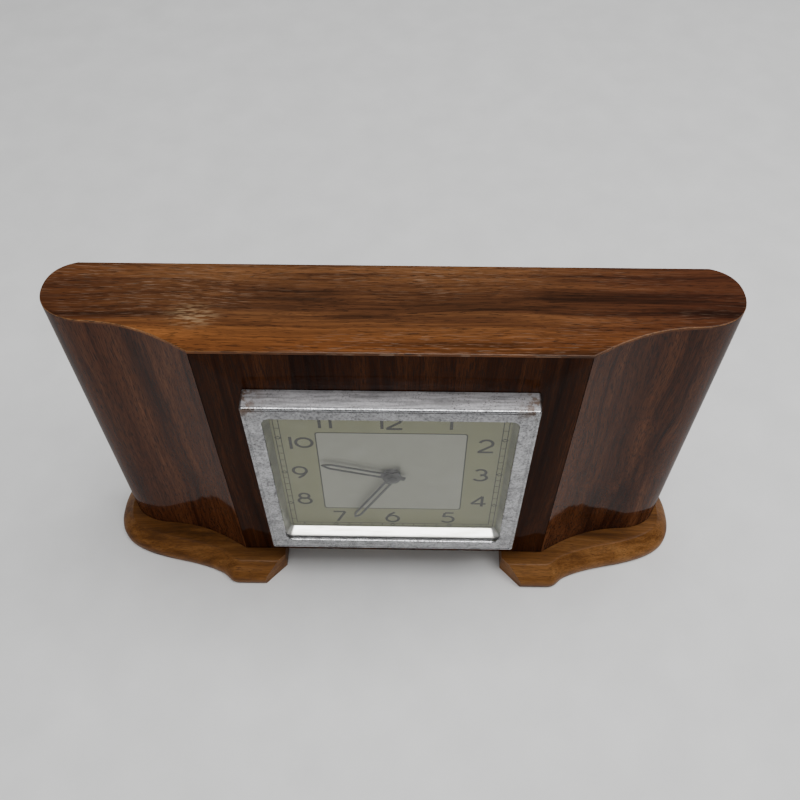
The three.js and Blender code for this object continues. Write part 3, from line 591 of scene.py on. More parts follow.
def pitted_chrome():
    """Old chromium plate: grey clouding with clusters of small dark pits and brown spots."""
    make = Nodes("pitted_chrome")
    place = make.coords()
    region = make.noise(place, 55.0, detail=4, rough=0.65)
    cloud = make.noise(place, 260.0, detail=5, rough=0.7)
    grain = make.noise(place, 1100.0, detail=4, rough=0.75)
    drawn = make.noise(make.scaled(place, (60, 900, 900)), 1.0, detail=4, rough=0.6)
    walls = make.between(make.axis(place, "Y"), BEZEL_FRONT + 0.0009, BEZEL_FRONT + 0.0016)
    pits = make.cells(place, 1000.0)
    small = make.flip(make.between(pits, 0.12, 0.34))
    dense = make.between(region, 0.40, 0.60)
    pitted = make.times(small, dense)
    plate = make.mix(make.between(cloud, 0.35, 0.65), (0.44, 0.44, 0.45), (0.27, 0.27, 0.275))
    side = make.mix(make.between(drawn, 0.36, 0.64), (0.42, 0.41, 0.42), (0.25, 0.245, 0.25))
    crest = make.between(make.axis(place, "Z"), DIAL_Z + 0.0495, DIAL_Z + 0.0515)
    plate = make.mix(make.times(crest, 0.35), plate, (0.16, 0.16, 0.165))
    colour = make.mix(walls, plate, side)
    worn = make.math("SUBTRACT", 0.75, make.times(walls, 0.45))
    speckle = make.times(make.between(grain, 0.47, 0.60), worn)
    colour = make.mix(speckle, colour, make.tinted(colour, (0.35, 0.35, 0.36)))
    colour = make.mix(make.times(pitted, 0.85), colour, (0.05, 0.042, 0.038))
    ends = make.between(make.math("ABSOLUTE", make.axis(place, "X")), 0.046, 0.058)
    high = make.between(make.axis(place, "Z"), DIAL_Z + 0.050, DIAL_Z + 0.057)
    rust = make.times(make.times(ends, high), make.between(cloud, 0.45, 0.58))
    colour = make.mix(make.times(rust, 0.85), colour, (0.10, 0.055, 0.03))
    polish = make.plus(make.times(cloud, 0.30), make.plus(make.times(walls, 0.22), 0.10))
    relief = make.bump(make.math("SUBTRACT", grain, pitted), 0.00002)
    make.surface(base=colour, roughness=polish, metallic=1.0, normal=relief)
    return make.material


def satin_reflector():
    """Satin plate with drawn streaks: a painted highlight on the bottom slope where it faces the light, and a
    painted reflection of the dial in dim greenish grey at the sides.
    """
    make = Nodes("satin_reflector")
    place = make.coords()
    drawn = make.noise(make.scaled(place, (45, 400, 400)), 1.0, detail=4, rough=0.65)
    cloud = make.noise(place, 90.0, detail=4)
    # Mask of the bottom slope, which takes the painted highlight.
    below = make.flip(make.between(make.axis(place, "Z"), DIAL_Z - 0.0495, DIAL_Z - 0.0475))
    # Painted highlight colour for the bottom slope, streaked along the drawn lines.
    bright = make.mix(make.between(drawn, 0.36, 0.56), (0.74, 0.72, 0.66), (1.0, 0.99, 0.96))
    # Painted reflection of the dial for the sides: dim greenish grey.
    dial_reflection_tone = make.mix(make.between(cloud, 0.35, 0.65), (0.25, 0.26, 0.20), (0.38, 0.385, 0.31))
    colour = make.mix(below, dial_reflection_tone, bright)
    make.surface(base=colour, roughness=0.28, metallic=1.0, normal=make.bump(drawn, 0.00001))
    return make.material


def painted(name, base, roughness=0.5, mottling=0.06, metallic=0.0, scale=120.0, specular=0.4):
    """Paint or lacquer with a little age in its tone."""
    make = Nodes(name)
    age = make.noise(make.coords(), scale, detail=5, rough=0.6)
    fine = make.noise(make.coords(), 2500.0, detail=2)
    dark = tuple(c * (1 - 2 * mottling) for c in base)
    colour = make.mix(make.between(age, 0.3, 0.7), dark, base)
    make.surface(base=colour, roughness=roughness, metallic=metallic, normal=make.bump(fine, 0.000004),
                 specular=specular)
    return make.material


def clear_glass():
    """Flat glass: clear, with its own reflections at the surface."""
    make = Nodes("clear_glass")
    fresnel = make.add("ShaderNodeFresnel", IOR=1.5)
    smear = make.noise(make.coords(), 90.0, detail=4)
    film = make.plus(make.times(make.between(smear, 0.5, 0.8), 0.02), fresnel.outputs[0])
    behind = make.tree.nodes.new("ShaderNodeNewGeometry").outputs["Backfacing"]
    film = make.times(film, make.flip(behind))
    through = make.add("ShaderNodeBsdfTransparent", Color=(0.975, 0.975, 0.97))
    gloss = make.add("ShaderNodeBsdfGlossy", Color=(1.0, 1.0, 1.0), Roughness=0.04)
    both = make.tree.nodes.new("ShaderNodeMixShader")
    make.put(both.inputs[0], film)
    make.tree.links.new(through.outputs[0], both.inputs[1])
    make.tree.links.new(gloss.outputs[0], both.inputs[2])
    make.tree.links.new(both.outputs[0], make.output.inputs["Surface"])
    return make.material


def make_materials():
    """Every finish of the clock by name; the four tones of a wood run from dark to light."""
    wing_tones = [(0.020, 0.0055, 0.0025), (0.050, 0.015, 0.0060),
                  (0.082, 0.027, 0.0105), (0.130, 0.048, 0.020)]
    panel_tones = [(0.010, 0.0028, 0.0010), (0.023, 0.0065, 0.0020),
                   (0.040, 0.0125, 0.0040), (0.062, 0.021, 0.007)]
    top_tones = [(0.028, 0.012, 0.0060), (0.076, 0.030, 0.0125),
                 (0.122, 0.050, 0.0190), (0.180, 0.077, 0.029)]
    foot_tones = [(0.072, 0.027, 0.006), (0.130, 0.050, 0.011), (0.180, 0.075, 0.020), (0.250, 0.115, 0.034)]
    edge_tones = [(0.09, 0.035, 0.010), (0.16, 0.065, 0.018), (0.24, 0.105, 0.032), (0.34, 0.16, 0.06)]
    bare_tones = [(0.28, 0.17, 0.08), (0.36, 0.23, 0.12), (0.42, 0.28, 0.15), (0.50, 0.34, 0.19)]
    return {
        "wing_left": walnut("wing_veneer_left", "Z", wing_tones, 0.0, 0.28, wave=0.005, shift=(0.3, 0, 0)),
        "wing_right": walnut("wing_veneer_right", "Z", wing_tones, 0.0, 0.28, wave=0.008,
                             shift=(0, 0.2, 0.1)),
        "panel": walnut("panel_veneer", "Z", panel_tones, 0.0, 0.1, wave=0.003, figure=1.1),
        "top": walnut("top_veneer_walnut", "X", top_tones, 0.0, 0.3, wave=0.0035, figure=1.25,
                      pores=(0.60, 0.68), roughness=0.38, tint=top_tint, wear=top_wear),
        "edge": walnut("worn_edge", "X", edge_tones, 0.2, 0.1, roughness=0.4),
        "foot": walnut("foot_walnut", "X", foot_tones, 0.08, 0.05, wave=0.006, figure=1.15,
                       pores=(0.60, 0.68), pore_colour=(0.05, 0.02, 0.006), roughness=0.42,
                       tint=foot_spots),
        "back": walnut("back_veneer", "X", wing_tones, 0.15, 0.15, wave=0.003, shift=(0, 0, 0.4),
                       roughness=0.45),
        "bare": walnut("bare_wood", "X", bare_tones, 0.3, 0.0, roughness=0.7, pores=(0.62, 0.7),
                       pore_colour=(0.18, 0.10, 0.05)),
        "chrome": pitted_chrome(),
        "reflector": satin_reflector(),
        "plate": metal("bright_plate", (0.80, 0.79, 0.75), 0.34, grain=0.000006),
        "brass": metal("aged_brass", (0.62, 0.43, 0.17), 0.30, tarnish=(0.55, 0.75),
                       tarnish_colour=(0.25, 0.15, 0.06)),
        "steel": metal("plated_steel", (0.50, 0.50, 0.49), 0.38, tarnish=(0.60, 0.80),
                       tarnish_colour=(0.20, 0.13, 0.08)),
        "cover": metal("tinned_cover", (0.52, 0.51, 0.48), 0.42, spread=0.25, tarnish=(0.58, 0.78),
                       tarnish_colour=(0.22, 0.14, 0.08), scale=150.0),
        "hands": painted("blued_hands", (0.020, 0.021, 0.020), 0.35, specular=0.25),
        "cream": painted("dial_cream", (0.145, 0.146, 0.060), 0.45, mottling=0.05),
        "silver": painted("dial_silver", (0.230, 0.233, 0.186), 0.42, mottling=0.04, metallic=0.15),
        "print": painted("dial_print", (0.012, 0.013, 0.008), 0.5, specular=0.1),
        "glass": clear_glass(),
    }


# ---------- case ----------
def prism(name, outline, levels, materials, edge_slots=()):
    """A solid with an upright axis; each level is (height, inset), and some bands take material 1."""
    loops = []
    for height, distance in levels:
        ring = inset(outline, distance) if distance else outline
        loops.append([(x, y, height) for x, y in ring])
    verts, faces = rings(loops)
    count = len(outline)
    slots = [0] * len(faces)
    for band in edge_slots:
        for i in range(band * count, (band + 1) * count):
            slots[i] = 1
    return place_mesh(name, verts, faces, materials, face_slots=slots)


def add_case(paint):
    """Two curved side shells, the veneered top, the front panel and the back board."""
    wall_top = CASE_TOP - 0.0013
    shell = 0.005
    batten_edge = 0.1203
    outer = case_end(28)
    outer.append((batten_edge, BACK_Y))
    inner = inset(outer, shell, closed=False)
    inner[0] = (PANEL_HALF, FACE_Y + PANEL_THICKNESS)
    inner[-1] = (batten_edge, BACK_Y - shell)
    section = outer + inner[::-1]
    wings = (("right_wing", section, "right_side_shell", "wing_right"),
             ("left_wing", mirrored(section), "left_side_shell", "wing_left"))
    for name, points, node, look in wings:
        wing = prism(name, points, [(CASE_BOTTOM, 0), (wall_top, 0)], paint[look])
        stand_for(wing, "root", "walnut_veneer", node)

    outline = case_end(28)
    whole = outline + mirrored(outline)
    soft = 0.0004
    levels = [(wall_top, 0), (CASE_TOP - soft, 0), (CASE_TOP - soft * 0.62, soft * 0.08),
              (CASE_TOP - soft * 0.29, soft * 0.29), (CASE_TOP - soft * 0.08, soft * 0.62), (CASE_TOP, soft)]
    top = prism("top_veneer_sheet", whole, levels, [paint["top"], paint["edge"]], edge_slots=(1, 2, 3))
    stand_for(top, "root", "walnut_veneer", "top_veneer")

    panel = panel_with_hole(
        "front_panel_veneer", PANEL_HALF - 0.00002, CASE_BOTTOM, wall_top, FACE_Y, FACE_Y + PANEL_THICKNESS,
        0.0455, 0.0005, paint["panel"])
    stand_for(panel, "root", "walnut_veneer", "front_panel")
    back = panel_with_hole(
        "back_board", back_high[0], back_low[2], back_high[2], BACK_Y, back_low[1], 0.0465, 0.0006,
        paint["back"])
    sink = in_mm([(0, 1), (3.9, 1), (3.8, -0.4), (1.9, -2.3), (1.9, -8), (0, -8)], along=BACK_Y)
    holes = []
    for number in range(1, 5):
        x, _, z = middle_of(f"back_screw_{number}")
        holes.append(turned(f"sink_{number}", sink, (x, z), paint["back"], segments=32))
    stand_for(cut(back, holes), "root", "walnut_veneer", "back_panel")


def panel_with_hole(name, half, bottom, top, face, rear, radius, soften, material):
    """A rectangular board with a round opening about the dial axis, its face edges eased."""
    count = 128
    hole = []
    edge = []
    corners = [math.atan2(z - DIAL_Z, x) for x in (half, -half) for z in (bottom, top)]
    angles = sorted([2 * pi * k / count - pi for k in range(count)] + corners)
    for a in angles:
        c, s = cos(a), sin(a)
        reach = min(half / abs(c) if abs(c) > 1e-9 else 1e9,
                    ((top - DIAL_Z) if s > 0 else (DIAL_Z - bottom)) / abs(s) if abs(s) > 1e-9 else 1e9)
        edge.append((reach * c, DIAL_Z + reach * s))
        hole.append((radius * c, DIAL_Z + radius * s))
    inward = 1 if rear > face else -1

    def shrunk(amount):
        return [(max(-half + amount, min(half - amount, x)), max(bottom + amount, min(top - amount, z)))
                for x, z in edge]

    def widened(amount):
        return [(x * (radius + amount) / radius, DIAL_Z + (z - DIAL_Z) * (radius + amount) / radius)
                for x, z in hole]

    def level(points, y):
        return [(x, y, z) for x, z in points]

    loops = [level(edge, rear), level(edge, face + inward * soften),
             level(shrunk(soften * 0.3), face + inward * soften * 0.3), level(shrunk(soften), face),
             level(widened(soften), face), level(widened(soften * 0.3), face + inward * soften * 0.3),
             level(hole, face + inward * soften), level(hole, rear)]
    return place_mesh(name, *rings(loops, close_section=True), material)


# ---------- feet ----------
def add_feet(paint):
    """Two feet with an upright lower edge, a convex wall, a crisp ridge and a flat top."""
    outline = foot_outline(12)
    ridge_line = foot_ridge(12)
    ridge = 0.0068

    def ring(level, distance):
        share = distance / ridge
        return [(a[0] + (b[0] - a[0]) * share, a[1] + (b[1] - a[1]) * share, level)
                for a, b in zip(outline, ridge_line)]

    levels = [(0.0, 0.0008), (0.0003, 0.0003), (0.0010, 0.0), (0.0030, 0.0)]
    crown = (ridge, FOOT_HEIGHT - 0.0003)
    wall = bezier((0.0, 0.0030), (0.0, 0.0066), (0.0038, 0.0086), crown, 10, first=False)
    levels += [(level, distance) for distance, level in wall]
    levels += [(FOOT_HEIGHT - 0.00005, ridge + 0.0003), (FOOT_HEIGHT, ridge + 0.0006),
               (FOOT_HEIGHT, ridge + 0.0018)]
    loops = [ring(level, distance) for level, distance in levels]
    for side, body_side in ((1, "right"), (-1, "left")):
        placed = [[(side * x, y, z) for x, y, z in loop] for loop in loops]
        foot = place_mesh(f"{body_side}_foot_block", *rings(placed), paint["foot"], sharp=40)
        tools = [corner_wedge(side, paint["foot"])]
        for number in range(1, 5):
            x, y, _ = middle_of(f"foot_screw_{number}")
            if x * side > 0:
                tools.append(bore_up(f"foot_bore_{number}", x, y, paint["foot"]))
        stand_for(cut(foot, tools), "root", "walnut_foot", f"{body_side}_foot")


def corner_wedge(side, material):
    """The waste that is sawn off a foot's inner front corner."""
    inside = Vector((foot_low[0], FACE_Y - 0.0032))
    front = Vector((0.065, foot_low[1]))
    far = front + (front - inside) * 0.2
    near = inside + (inside - front) * 0.2
    corners = [near, Vector((near.x, far.y)), far]
    loops = [[(side * c.x, c.y, z) for c in corners] for z in (-0.001, FOOT_HEIGHT + 0.001)]
    return place_mesh("corner_wedge", *rings(loops), material)


def bore_up(name, x, y, material):
    """A counterbore from below."""
    profile = in_mm([(0, -1), (4.2, -1), (4.2, 4), (2, 4), (2, 20), (0, 20)])
    tool = turned(name, profile, (0, 0), material, segments=32)
    tool.data.transform(Matrix.Translation((x, y, 0)) @ rotation(90, "X"))
    return tool


# ---------- bezel, glass and reflector ----------
def square_loop(half, radius, y, steps=10, side_steps=12):
    """A rounded square about the dial axis."""
    loop = []
    corners = ((1, 1, 0), (-1, 1, 90), (-1, -1, 180), (1, -1, 270))
    for number, (sx, sz, start) in enumerate(corners):
        turn = arc(radius, start, start + 90, steps, sx * (half - radius), sz * (half - radius))
        loop += turn
        nx, nz, nstart = corners[(number + 1) % 4]
        first = arc(radius, nstart, nstart + 90, steps, nx * (half - radius), nz * (half - radius))[0]
        last = turn[-1]
        for k in range(1, side_steps):
            t = k / side_steps
            loop.append((last[0] + (first[0] - last[0]) * t, last[1] + (first[1] - last[1]) * t))
    return [(x, y, DIAL_Z + z) for x, z in loop]


def square_frame(name, section, materials, sharp=32.0):
    """A square frame swept from a closed section of (half, corner radius, y)."""
    loops = [square_loop(*corner) for corner in section]
    return place_mesh(name, *rings(loops, close_section=True), materials, sharp)


def add_bezel(paint):
    """A folded square frame: rounded outer fold, a fine groove, a flat face and a rolled inner edge."""
    front, rear = BEZEL_FRONT, bezel_high[1]
    half = BEZEL_HALF
    fold, roll, wall = 0.0009, 0.0007, 0.0011
    section = [(half, fold, rear)]
    for k in range(7):
        a = radians(90 * k / 6)
        section.append((half - fold + fold * cos(a), fold, front + fold - fold * sin(a)))
    groove = ((0.25, 0.02), (0.45, 0.26), (0.75, 0.28), (1.00, 0.12))
    section += [(half - fold - across * MM, fold, front + deep * MM) for across, deep in groove]
    section += [(half - 0.0032, 0.0012, front + 0.00010), (OPENING + fold, 0.0040, front + 0.00010)]
    for k in range(1, 6):
        a = radians(90 * k / 5)
        section.append((OPENING + roll - roll * sin(a), 0.0037, front + 0.0008 - roll * cos(a)))
    section += [(OPENING, 0.0036, front + wall), (half - wall, 0.0008, front + wall),
                (half - wall, 0.0008, rear)]
    bezel = square_frame("bezel_frame", section, paint["chrome"], sharp=25)
    stand_for(bezel, "root", "chrome", "bezel")


def add_glass(paint):
    """The pane behind the bezel, its edges eased."""
    low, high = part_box("glass")
    reach, ease = high[0], 0.0002
    pane = [square_loop(reach - ease, 0.001, low[1]), square_loop(reach, 0.001, low[1] + ease),
            square_loop(reach, 0.001, high[1] - ease), square_loop(reach - ease, 0.001, high[1])]
    stand_for(place_mesh("glass_pane", *rings(pane), paint["glass"]), "root", "glass", "glass")


def add_reflector(paint):
    """The sloping frame between the glass and the dial."""
    low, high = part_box("reflector_frame")
    lip, seat = low[1], high[1]
    foot, mouth = OPENING - 0.0014, OPENING + 0.0006
    edge = lip + 0.0002
    section = [(mouth + 0.0006, 0.0040, lip), (mouth + 0.0002, 0.0038, lip), (mouth, 0.0036, edge)]
    section += [(mouth + (foot - mouth) * t, 0.0036 - 0.001 * t, edge + (seat - edge) * t)
                for t in (0.25, 0.5, 0.7, 0.85, 1.0)]
    rear_face = seat - 0.0005
    section += [(high[0], 0.001, seat), (high[0], 0.001, rear_face), (foot + 0.0008, 0.003, rear_face)]
    reflector = square_frame("reflector", section, paint["reflector"], sharp=40)
    stand_for(reflector, "root", "chrome", "reflector_frame")


# ---------- dial ----------
def ellipse(cx, cz, rx, rz, start, end, steps):
    """Points on an ellipse about (cx, cz), in degrees."""
    return [(cx + rx * x, cz + rz * z) for x, z in arc(1.0, start, end, steps)]


def figure_strokes(figure):
    """Pen strokes of one figure in a box one unit wide and 1.4 units high, about its centre."""
    top, low = 0.7, -0.7
    shapes = {
        "0": [ellipse(0, 0.06, 0.52, 0.52, 0, 360, 48)],
        "1": [[(0, low), (0, top)]],
        "2": [ellipse(0, 0.28, 0.42, 0.42, 165, -38, 24) + [(-0.45, low + 0.04)], [(-0.5, low), (0.5, low)]],
        "3": [ellipse(-0.02, 0.33, 0.36, 0.37, 150, -90, 24),
              ellipse(-0.02, -0.32, 0.44, 0.38, 90, -155, 26)],
        "4": [[(0.22, low), (0.22, top)], [(0.22, top), (-0.52, -0.32)], [(-0.52, -0.32), (0.5, -0.32)]],
        "5": [[(0.38, top), (-0.24, top)], [(-0.24, top), (-0.34, 0.08)],
              ellipse(-0.04, -0.24, 0.44, 0.44, 125, -150, 28)],
        "6": [ellipse(0, -0.24, 0.44, 0.46, 0, 360, 40), [(-0.38, -0.02), (-0.18, 0.38), (0.16, top)]],
        "7": [[(-0.42, top), (0.42, top)], [(0.42, top), (-0.18, low)]],
        "8": [ellipse(0, 0.36, 0.33, 0.34, 0, 360, 36), ellipse(0, -0.31, 0.44, 0.39, 0, 360, 40)],
        "9": [ellipse(0, 0.24, 0.44, 0.46, 0, 360, 40), [(0.38, 0.02), (0.18, -0.38), (-0.16, low)]],
    }
    return shapes[figure]


def add_dial(paint):
    """The dial plate with its printed centre, outline, minute track and numerals."""
    low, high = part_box("dial_plate")
    face = low[1]
    skin = 0.00003
    under = face - 0.000004

    def square(half, radius, **options):
        return [(x, z) for x, _, z in square_loop(half, radius, 0, **options)]

    bore = arc(0.0036, 0, 360 - 7.5, 47, 0, DIAL_Z)
    plate = filled("dial_face", [square(high[0], 0.001), bore], face, high[1], paint["cream"])
    stand_for(plate, "root", "dial_paint", "dial_plate")
    centre_half, line = 0.0311, 0.0005
    centre = square(centre_half, 0.0012, steps=6)
    silver = filled("dial_centre", [centre, bore], face - skin, under, paint["silver"])
    stand_for(silver, "root", "dial_paint")
    outer = square(centre_half + line, 0.0014, steps=6)
    border = filled("dial_centre_line", [outer, centre], face - skin * 1.5, under, paint["print"])
    stand_for(border, "root", "dial_paint")
    add_track(paint, face - skin, under)
    add_numerals(paint, face - skin, under)


def add_track(paint, front, back):
    """A square railway track with a rung at each minute and an open diamond at each hour."""
    outer, inner, line = 0.0481, 0.0459, 0.00034
    middle = (outer + inner) / 2
    size = (outer - inner) / 2 + 0.0005
    kite = [(-0.8 * size, 0), (0, -size), (0.8 * size, 0), (0, size)]
    verts, faces = [], []

    def plate(corners):
        start = len(verts)
        verts.extend([(x, front, DIAL_Z + z) for x, z in corners])
        verts.extend([(x, back, DIAL_Z + z) for x, z in corners])
        n = len(corners)
        faces.append(tuple(range(start, start + n)))
        faces.append(tuple(range(start + 2 * n - 1, start + n - 1, -1)))
        for i in range(n):
            j = (i + 1) % n
            faces.append((start + i, start + n + i, start + n + j, start + j))

    for turn in range(4):
        c, s = cos(pi / 2 * turn), sin(pi / 2 * turn)

        def put(corners):
            plate([(x * c - z * s, x * s + z * c) for x, z in corners])

        def bar(left, low, right, high):
            put([(left, low), (right, low), (right, high), (left, high)])

        for reach in (outer, inner):
            bar(-reach, reach - line, reach - line, reach)
        for minute in range(-7, 8):
            x = middle * math.tan(radians(6 * minute))
            if abs(x) > inner - 0.0004:
                continue
            if minute % 5:
                bar(x - line / 2, inner, x + line / 2, outer - line)
                continue
            for a, b in zip(kite, kite[1:] + kite[:1]):
                sides = ((a, 1), (b, 1), (b, 0.6), (a, 0.6))
                put([(x + p[0] * share, middle + p[1] * share) for p, share in sides])
    track = place_mesh("dial_minute_track", verts, faces, paint["print"])
    stand_for(track, "root", "dial_paint")


def add_numerals(paint, front, back):
    """Twelve numerals set round a square, placed in millimetres from the dial's centre."""
    size, pen = 0.00655, 0.00130
    places = {12: (-1.2, 39.2), 1: (24.5, 39.2), 2: (39.5, 22.6), 3: (38.9, -0.6), 4: (39.7, -23.8),
              5: (26.2, -39.6), 6: (0, -39.6), 7: (-25, -39.6), 8: (-40.2, -23.1), 9: (-40.2, -0.2),
              10: (-39.3, 23.3), 11: (-26.8, 39.2)}
    advance = {10: 5.6, 11: 4.5, 12: 5.0}
    verts, faces = [], []
    for hour, (cx, cz) in places.items():
        figures = str(hour)
        for number, figure in enumerate(figures):
            shift = (number - (len(figures) - 1) / 2) * advance.get(hour, 0)
            for line in figure_strokes(figure):
                placed = [((cx + shift) * MM + x * size, cz * MM + z * size) for x, z in line]
                add_stroke(verts, faces, placed, pen, front, back)
    numerals = place_mesh("dial_numerals", verts, faces, paint["print"])
    stand_for(numerals, "root", "dial_paint")


def add_stroke(verts, faces, points, width, front, back):
    """Adds one flat pen stroke as a thin closed solid."""
    closed = math.dist(points[0], points[-1]) < 1e-6
    if closed:
        points = points[:-1]
    left, right = inset(points, width / 2, closed), inset(points, -width / 2, closed)
    start = len(verts)
    n = len(points)
    for line, y in ((left, front), (right, front), (left, back), (right, back)):
        verts.extend([(x, y, DIAL_Z + z) for x, z in line])
    a, b, c, d = (start + k * n for k in range(4))
    for i in range(n if closed else n - 1):
        j = (i + 1) % n
        faces += [(a + i, a + j, b + j, b + i), (c + i, d + i, d + j, c + j),
                  (a + i, c + i, c + j, a + j), (b + i, b + j, d + j, d + i)]
    if not closed:
        e = n - 1
        faces += [(a, b, d, c), (a + e, c + e, d + e, b + e)]


# ---------- hands ----------
def add_hand(name, node, body, angle, paint, length, width, boss, bore):
    """A skeleton baton hand in millimetres: two thin bars that meet in a point, a boss and a stub tail."""
    low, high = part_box(node)
    bar, tail, stub = 0.9, 6.0, width * 0.31
    half = width / 2
    start = math.degrees(math.acos(half / boss))
    side = 90 - math.degrees(math.asin(stub / boss))
    shoulder = length - 1.1 * width
    outer = bezier((half, shoulder), (half, shoulder + 1.2), (0.4, length - 0.2), (0.0, length), 8)
    outer += [(-x, z) for x, z in reversed(outer[:-1])]
    outer += arc(boss, 180 - start, 180 + side, 14)
    outer += [(-stub, -tail), (stub, -tail)]
    outer += arc(boss, -side, start, 14)
    open_half = half - bar
    slot = [(open_half, boss + 0.6)]
    slot += bezier((open_half, shoulder), (open_half, shoulder + 0.8), (0.3, length - 1.8),
                   (0.0, length - 1.6), 6)
    slot += [(-x, z) for x, z in reversed(slot[:-1])]
    eye = arc(bore, 0, 360 - 12, 29)
    middle = Matrix.Translation((0, (low[1] + high[1]) / 2, DIAL_Z))
    stand = middle @ rotation(angle, "Y") @ rotation(90, "X")
    hand = filled(name, [in_mm(line) for line in (outer, slot, eye)], low[1], high[1], paint["hands"],
                  soften=0.00008, to_row=stand)
    stand_for(hand, body, "black_steel", node)


def add_hands(paint):
    """The hour hand, the minute hand and the domed nut that holds them."""
    add_hand("hour_hand_skeleton", "hour_hand", "hour_wheel", 286.5, paint,
             length=31.6, width=4.0, boss=4.3, bore=2.8)
    add_hand("minute_hand_skeleton", "minute_hand", "centre_arbor", 206.7, paint,
             length=38.8, width=3.6, boss=3.6, bore=2.0)
    low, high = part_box("hand_nut")
    rim, deep = high[0], high[1] - low[1]
    dome = ((0.28, 0.04), (0.55, 0.16), (0.8, 0.36), (0.95, 0.62), (1, 0.8))
    profile = [(0, low[1])] + [(rim * r, low[1] + deep * y) for r, y in dome] + [(rim, high[1]), (0, high[1])]
    nut = turned("hand_cap", profile, (0, DIAL_Z), paint["hands"], segments=48)
    stand_for(nut, "centre_arbor", "black_steel", "hand_nut")


# ---------- back ----------
def add_back(paint):
    """The pressed cover of the movement with its openings, the key and the setting knob."""
    low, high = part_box("movement_cover")
    lip, rear = low[1], high[1]
    outer, inner, flange, sheet, bend = 0.0445, 0.0437, 0.052, 0.0008, 0.0024
    profile = [(0, rear - sheet), (inner - 0.002, rear - sheet), (inner, rear - sheet - 0.002), (inner, lip),
               (flange, lip), (flange, lip + sheet), (outer, lip + sheet), (outer, rear - bend)]
    for k in range(1, 9):
        a = radians(90 * k / 8)
        profile.append((outer - bend + bend * cos(a), rear - bend + bend * sin(a)))
    profile += in_mm([(38.5, 0), (37.8, -0.5), (36.6, -0.6), (35.8, 0), (0, 0)], along=rear)
    cover = turned("movement_cover_can", profile, (0, DIAL_Z), paint["cover"], segments=128)
    key = middle_of("winding_key")
    through = (rear - 0.002, rear + 0.001)
    tools = [drill("key_hole", 0.0032, *through, (key[0], key[2]), paint["cover"]),
             drill("arbor_hole", 0.0024, *through, (0, DIAL_Z), paint["cover"])]
    balance_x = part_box("balance_wheel")[0][0] + 0.009
    balance_z = middle_of("balance_wheel")[2]
    slot = arc(0.0124, -28, 28, 16, balance_x, balance_z) + arc(0.0098, 28, -28, 16, balance_x, balance_z)
    tools.append(filled("regulator_slot", [slot], *through, paint["cover"]))
    for number in range(1, 4):
        x, _, z = middle_of(f"cover_screw_{number}")
        tools.append(drill(f"screw_hole_{number}", 0.0015, lip - 0.001, lip + 0.002, (x, z),
                           paint["cover"], segments=24))
    stand_for(cut(cover, tools), "root", "steel", "movement_cover")
    add_key(paint, key)
    add_knob(paint)


def add_key(paint, at):
    """A cast wing key on a turned pipe."""
    low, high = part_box("winding_key")
    front, back = low[1], high[1]
    pipe = in_mm([(0, 0), (1.6, 0), (2.5, 0.2), (2.7, 0.5), (2.7, 3.8), (2.3, 4.4), (1.9, 6.0)], along=front)
    pipe += in_mm([(1.2, -2.8), (0, -2.6)], along=back)
    half = high[0] - at[0]
    reach, bulge = half * 0.66, half * 1.113
    root = front + 0.0027
    shoulder = root - 0.0006
    waist = back - 0.0026
    bow = [(-0.003, root), (0.003, root)]
    bow += bezier((0.003, root), (0.006, root), (0.0058, shoulder), (reach, shoulder), 8, first=False)
    bow += bezier((reach, shoulder), (bulge, shoulder), (bulge, back), (reach, back), 16, first=False)
    bow += bezier((reach, back), (0.0055, back), (0.005, waist), (0, waist), 10, first=False)
    bow += [(-x, y) for x, y in reversed(bow[2:-1])]
    lay = Matrix.Translation((at[0], 0, at[2]))
    leaf = filled("winding_key_bow", [bow], 0, 0.0014, paint["brass"], soften=0.0004, to_row=lay)
    stem = turned("winding_key_pipe", pipe, (at[0], at[2]), paint["brass"], segments=48)
    stand_for(leaf, "winding_arbor", "brass", "winding_key")
    stand_for(stem, "winding_arbor", "brass")


def add_knob(paint):
    """A knurled setting knob on a slim neck; the third value of a level is the share of the knurl."""
    low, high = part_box("setting_knob")
    radius = (high[2] - low[2]) / 2
    front, back = low[1], high[1]
    ribs, depth = 40, 0.00028
    skirt = front + 0.0034
    profile = [(0, front, 0), (0.0026, front, 0), (0.0028, front + 0.0002, 0), (0.0032, skirt - 0.0004, 0),
               (radius * 0.86, skirt, 0), (radius * 0.96, skirt + 0.0003, 0.6),
               (radius, skirt + 0.0008, 1), (radius, back - 0.0018, 1), (radius * 0.97, back - 0.0012, 0.7),
               (radius * 0.90, back - 0.0006, 0), (radius * 0.80, back - 0.0002, 0), (radius * 0.70, back, 0),
               (radius * 0.45, back - 0.0002, 0), (0, back - 0.0002, 0)]
    turns = [2 * pi * k / (ribs * 6) for k in range(ribs * 6)]
    loops = []
    for r, y, knurl in profile:
        reaches = [max(r - knurl * depth * (0.5 - 0.5 * cos(ribs * a)), 1e-6) for a in turns]
        loops.append([(reach * cos(a), y, DIAL_Z + reach * sin(a))
                      for reach, a in zip(reaches, turns)])
    knob = place_mesh("setting_knob_knurled", *rings(loops), paint["brass"], sharp=40)
    stand_for(knob, "centre_arbor", "brass", "setting_knob")


def countersunk(rim, length):
    """Half-section of a wood screw from its tip to its head, whose face is at zero."""
    shank = 0.0016
    return [(0, -length), (shank, 0.001 - length), (shank, -rim * 0.62), (rim * 0.97, -0.0002),
            (rim, -0.0001), (rim * 0.985, 0), (0, 0)]


def cheese_head(rim, length):
    """Half-section of a machine screw with an upright head."""
    shank, head = 0.0011, 0.0016
    return [(0, -length), (shank, 0.0005 - length), (shank, -head), (rim, -head), (rim, -0.0005),
            (rim * 0.9, -0.0001), (rim * 0.7, 0), (0, 0)]


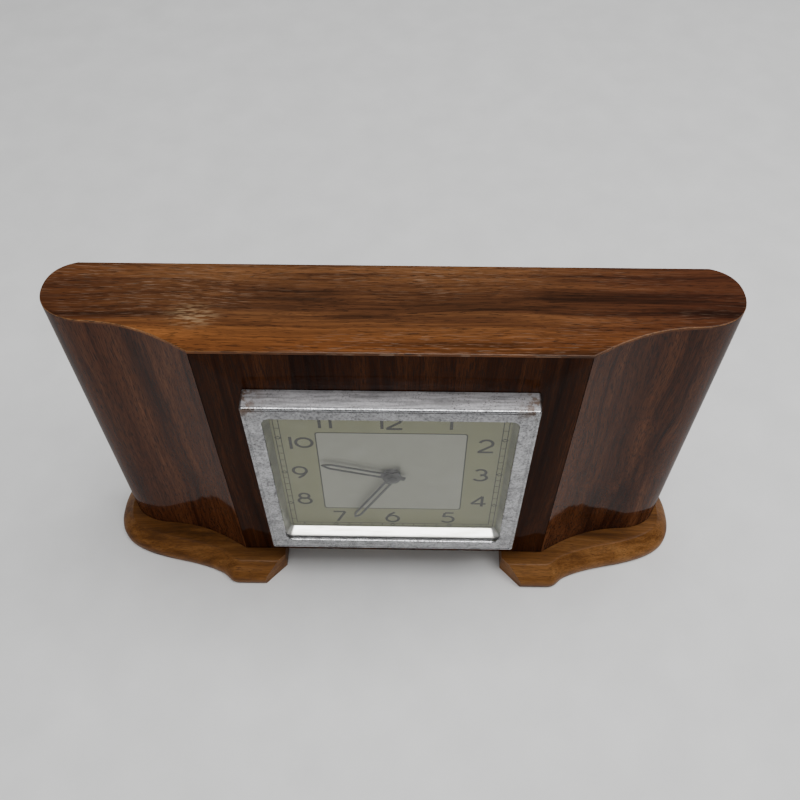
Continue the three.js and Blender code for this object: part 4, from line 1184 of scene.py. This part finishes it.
def add_screws(paint):
    """Slotted screws: countersunk in the back panel and feet, cheese-head in the cover flange."""
    rng = random.Random(7)
    kinds = (("back_screw", "back_wood_screw", 4, countersunk),
             ("cover_screw", "cover_cheese_screw", 3, cheese_head),
             ("foot_screw", "foot_wood_screw", 4, countersunk))
    for node, name, count, section in kinds:
        for number in range(1, count + 1):
            low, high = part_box(f"{node}_{number}")
            x, y, z = middle_of(f"{node}_{number}")
            upright = node == "foot_screw"
            length = high[2] - low[2] if upright else high[1] - low[1]
            rim = (high[0] - low[0]) / 2
            angle = rng.uniform(0, 180)
            screw = slotted(f"{name}_{number}", section(rim, length), rim, angle, paint["steel"])
            if upright:
                turn = Matrix.Translation((x, y, low[2])) @ rotation(-90, "X")
            else:
                turn = Matrix.Translation((x, high[1], z))
            screw.data.transform(turn)
            stand_for(screw, "root", "steel", f"{node}_{number}")


def slotted(name, profile, rim, angle, material):
    """A turned screw about the origin with a slot across its head."""
    screw = turned(name, profile, (0, 0), material, segments=40)
    tool = bpy.data.meshes.new("slot")
    reworked(tool, lambda bm: bmesh.ops.create_cube(bm, size=1.0))
    slot_depth, slot_width = 0.0011, 0.0008
    tool.transform(rotation(angle, "Y")
                   @ Matrix.Diagonal((rim * 2.4, slot_depth, slot_width, 1)))
    cutter = bpy.data.objects.new("slot", tool)
    link(cutter)
    return cut(screw, [cutter])


def paint_kept_nodes(paint):
    """Carried-over CAD pieces take the finish of their material slot."""
    looks = {"plain_wood": "bare", "brass": "brass", "steel": "steel", "black_steel": "hands",
             "walnut_veneer": "back", "walnut_foot": "foot", "chrome": "plate", "glass": "glass",
             "dial_paint": "cream"}
    for entry in frame["record"]["subparts"]:
        look = paint["steel" if entry["node"] == "hour_wheel" else looks[entry["material_slot"]]]
        me = NODES[entry["node"]].data
        me.materials.clear()
        me.materials.append(look)


add_camera()
add_stage()
paint = make_materials()
paint_kept_nodes(paint)
add_case(paint)
add_feet(paint)
add_bezel(paint)
add_glass(paint)
add_reflector(paint)
add_dial(paint)
add_hands(paint)
add_back(paint)
add_screws(paint)
